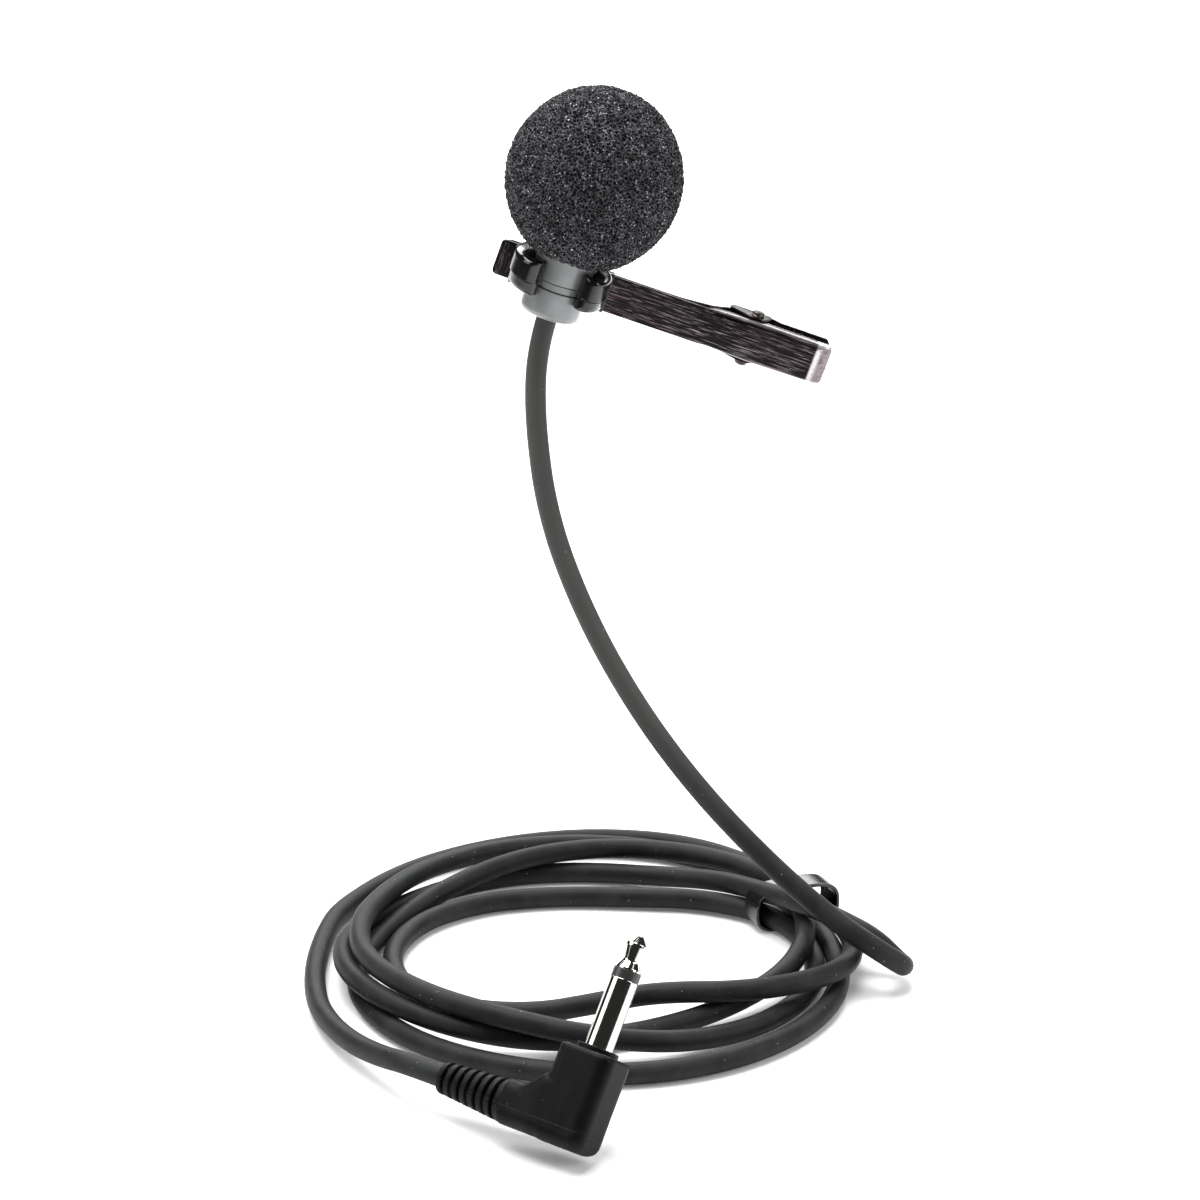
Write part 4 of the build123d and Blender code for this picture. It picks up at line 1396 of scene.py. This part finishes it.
# ---------------------------------------------------------------- plug
@dataclass(frozen=True)
class Plug:
    """Right-angle plug: moulding, strain relief, collar, sleeve, insulator and tip."""

    place: Place
    limb: tuple = (3.8, 3.3)
    below: float = 2.9
    above: float = 9.0
    side: tuple = (2.9, 2.8)
    side_long: float = 8.8
    corner: float = 1.6
    collar: tuple = (2.6, 0.6)
    sleeve_r: float = 1.75
    sleeve_long: float = 8.6
    ring_long: float = 1.1
    tip_long: float = 4.5
    relief_long: float = 9.6
    relief_r: tuple = (2.72, 1.98)
    ribs: int = 7
    seam_at: float = -0.5
    flare_from: tuple = (3.4, 7.4)

    def block(self, name: str, place: Place, low: float, high: float, half: tuple,
              rounding: tuple, flare: tuple = (0.0, 0.0)) -> bpy.types.Object:
        """Rounded-section block along z, its two ends eased by quarter circles.

        Args:
            name: the shell's name.
            place: frame whose z is its length.
            low: bottom height.
            high: top height.
            half: half sizes of its section.
            rounding: easing radius at the bottom and at the top.
            flare: how far its foot widens sideways, and on the side away from local y.

        Returns:
            The closed shell.
        """
        turn = np.linspace(0, pi / 2, 8)
        foot = [(low + rounding[0] * (1 - sin(a)), rounding[0] * (1 - cos(a))) for a in turn[::-1]]
        head = [(high - rounding[1] * (1 - sin(a)), rounding[1] * (1 - cos(a))) for a in turn]
        body = [(z, 0.0) for z in np.linspace(foot[-1][0], head[0][0], 16)[1:-1]]
        levels = np.array(foot + body + head)
        wide = (1 - smooth(levels[:, 0], *self.flare_from)) ** 1.5
        loop = rounded_rectangle(half[0] - levels[:, 1] + flare[0] * wide,
                                 half[1] - levels[:, 1] + 0.5 * flare[1] * wide,
                                 np.maximum(self.corner - 0.4 * levels[:, 1], 0.3))
        loop[..., 1] -= 0.5 * flare[1] * wide[:, None]
        z = np.broadcast_to(levels[:, :1], loop.shape[:2])
        rings = place.out(np.concatenate([loop, z[..., None]], axis=-1))
        return skin(name, rings, place.out(np.array([0, 0, low])), place.out(np.array([0, 0, high])))

    def cord_side(self, along: float) -> Place:
        """Frame whose z runs out along the lead, from `along` millimetres past the corner."""
        start = self.place.out(np.array([-along, 0, 0]))
        return Place(start, self.place.y, -self.place.z, -self.place.x)

    def moulding(self) -> bpy.types.Object:
        """Two limbs that cross at the corner, made one skin."""
        limb = self.block("limb_a", self.place, -self.below, self.above, self.limb, (1.5, 0.6))
        arm = self.block("limb_b", self.cord_side(0), -1.0, self.side_long, self.side, (0.5, 0.6),
                         (0.42, 2.4))
        return joined("plug_moulding", [limb, arm], 0.15 * MM, 10)

    def relief(self) -> bpy.types.Object:
        """Ribbed strain relief: a taper with slots cut by turns from two sides and the other two.

        Radius = taper - depth x slot(s) x side(a), where slot is a smooth well at each rib's
        gap and side is a smooth half of cos^2 of the angle, turned a quarter for every other gap.
        """
        axis = self.cord_side(self.side_long)
        s = np.linspace(-0.3, self.relief_long, 170)
        angle = np.linspace(0, TAU, 96, endpoint=False)
        taper = np.interp(s, [0, self.relief_long], self.relief_r)[:, None] + 0 * angle
        pitch = self.relief_long / (self.ribs + 0.5)
        for rib in range(self.ribs):
            middle = (rib + 0.75) * pitch
            slot = (smooth(s, middle - 0.3, middle - 0.17) * (1 - smooth(s, middle + 0.17, middle + 0.3)))
            quarter = pi / 2 * (rib % 2) + 0.6
            side = 0.42 + 0.38 * smooth(np.cos(angle + quarter) ** 2, 0.12, 0.24)
            taper = taper - side * slot[:, None]
        ease = 0.18
        taper = taper - ease * (1 - np.sqrt(1 - np.clip((s[:, None] - s[-1] + ease) / ease, 0, 1) ** 2))
        local = np.stack([taper * np.cos(angle), taper * np.sin(angle), s[:, None] + 0 * angle], axis=-1)
        poles = [axis.out(np.array([0, 0, z])) for z in (s[0], s[-1])]
        return skin("relief_boot", axis.out(local), poles[0], poles[1])

    def build(self) -> list[bpy.types.Object]:
        """Make and dress the plug's pieces, and return them."""
        black = Moulding("plug_plastic", (0.003, 0.003, 0.0033), 0.42, 0.02, 0.4, 0.08,
                         seam=self.place.moved(0, 0, self.seam_at)).build()
        chrome = Polished("plug_nickel", self.place, (0.68, 0.66, 0.62), 0.1).build()
        ring_black = Moulding("ring_plastic", (0.015, 0.015, 0.015), 0.3)
        made = [
            dress(self.moulding(), black, Body.CLIP, "plug_black", "plug_body"),
            dress(self.relief(), black, Body.CLIP, "plug_black", "strain_relief"),
        ]
        finishes = {
            "plug_barrel": (chrome, "plug_chrome", "plug_sleeve"),
            "plug_collar": (black, "plug_black"),
            "plug_ring": (ring_black, "insulator", "plug_insulator"),
            "plug_point": (chrome, "plug_chrome", "plug_tip"),
        }
        for name, profile in self.profiles().items():
            finish, slot, *nodes = finishes[name]
            made.append(dress(turned_piece(name, self.place, profile), finish, Body.CLIP, slot, *nodes))
        return made

    def profiles(self) -> dict[str, Array]:
        """Radius and height along each turned piece of the pin, by piece name."""
        low = self.above + self.collar[1]
        high = low + self.sleeve_long
        tip = high + self.ring_long
        end = tip + self.tip_long
        r, shy = self.sleeve_r, self.sleeve_r - 0.03
        collar_r, buried = self.collar[0], self.above - 0.5
        return {
            "plug_barrel": rounded_path([(0, low - 0.3), (r, low - 0.3), (r, high), (0, high)],
                                        [0, 0.1, 0.12, 0], steps=7),
            "plug_collar": rounded_path([(0, buried), (collar_r, buried), (collar_r, low), (0, low)],
                                        [0, 0.1, 0.22, 0], steps=7),
            "plug_ring": rounded_path([(0, high - 0.2), (shy, high - 0.2), (shy, tip + 0.1), (0, tip + 0.1)],
                                      [0, 0.05, 0.05, 0], steps=5),
            "plug_point": rounded_path([(0, tip), (0.93 * r, tip), (0.9 * r, tip + 0.3),
                                        (0.6 * r, tip + 1.2), (0.78 * r, tip + 3.0),
                                        (0.76 * r, tip + 3.35), (0.25 * r, end - 0.1), (0, end)],
                                       [0, 0.1, 0.15, 0.5, 0.15, 0.2, 0.3, 0], steps=8),
        }


@dataclass(frozen=True)
class Inside:
    """CAD nodes that stay as they are and take a finish."""

    place: Place

    def build(self) -> None:
        """Give each kept node its material."""
        rubber = Moulding("inner_rubber", (0.03, 0.03, 0.03), 0.7).build()
        drawn = Polished("drawn_metal", self.place, (0.72, 0.72, 0.73), 0.3).build()
        finishes = {
            "grille_cap": Moulding("grille_paint", (0.03, 0.03, 0.03), 0.5).build(),
            "dust_screen": Moulding("felt", (0.02, 0.02, 0.02), 0.95, 0.08).build(),
            "cord_grommet": rubber, "capsule_boot": rubber,
            "capsule_can": drawn, "diaphragm_ring": drawn, "electret_backplate": drawn,
            "backplate_spacer": rubber,
            "capsule_board": Moulding("board_resist", (0.02, 0.12, 0.05), 0.35).build(),
            "signal_wires": Moulding("wire_plastic", (0.45, 0.03, 0.02), 0.4).build(),
            "solder_lugs": Polished("lug_brass", self.place, (0.7, 0.5, 0.25), 0.3).build(),
        }
        for name, material in finishes.items():
            node = frame["nodes"][name]
            node.data.materials.clear()
            node.data.materials.append(material)
            log.info("node %s takes %s", name, material.name)


def main() -> None:
    logging.basicConfig(level=logging.INFO, format="%(message)s")
    anatomy = Anatomy.read(mount_middle=14.625, cord_direction=(0.825, -0.566, -0.042))
    Studio().build()
    lead = Lead(anatomy.head, anatomy.plug)
    cord = lead.build()
    tie = Tie().build()
    Windscreen(anatomy.head).build()
    Capsule(anatomy.head).build()
    Holder(anatomy.head).build()
    clip_place = anatomy.head.moved(0, 0, -Holder.arm_drop).tilted(Holder.arm_tilt)
    Clip(clip_place).build()
    on_lead = Plug(anatomy.plug).build()
    Inside(anatomy.head).build()
    lead.declare()


if __name__ == "__main__":
    main()
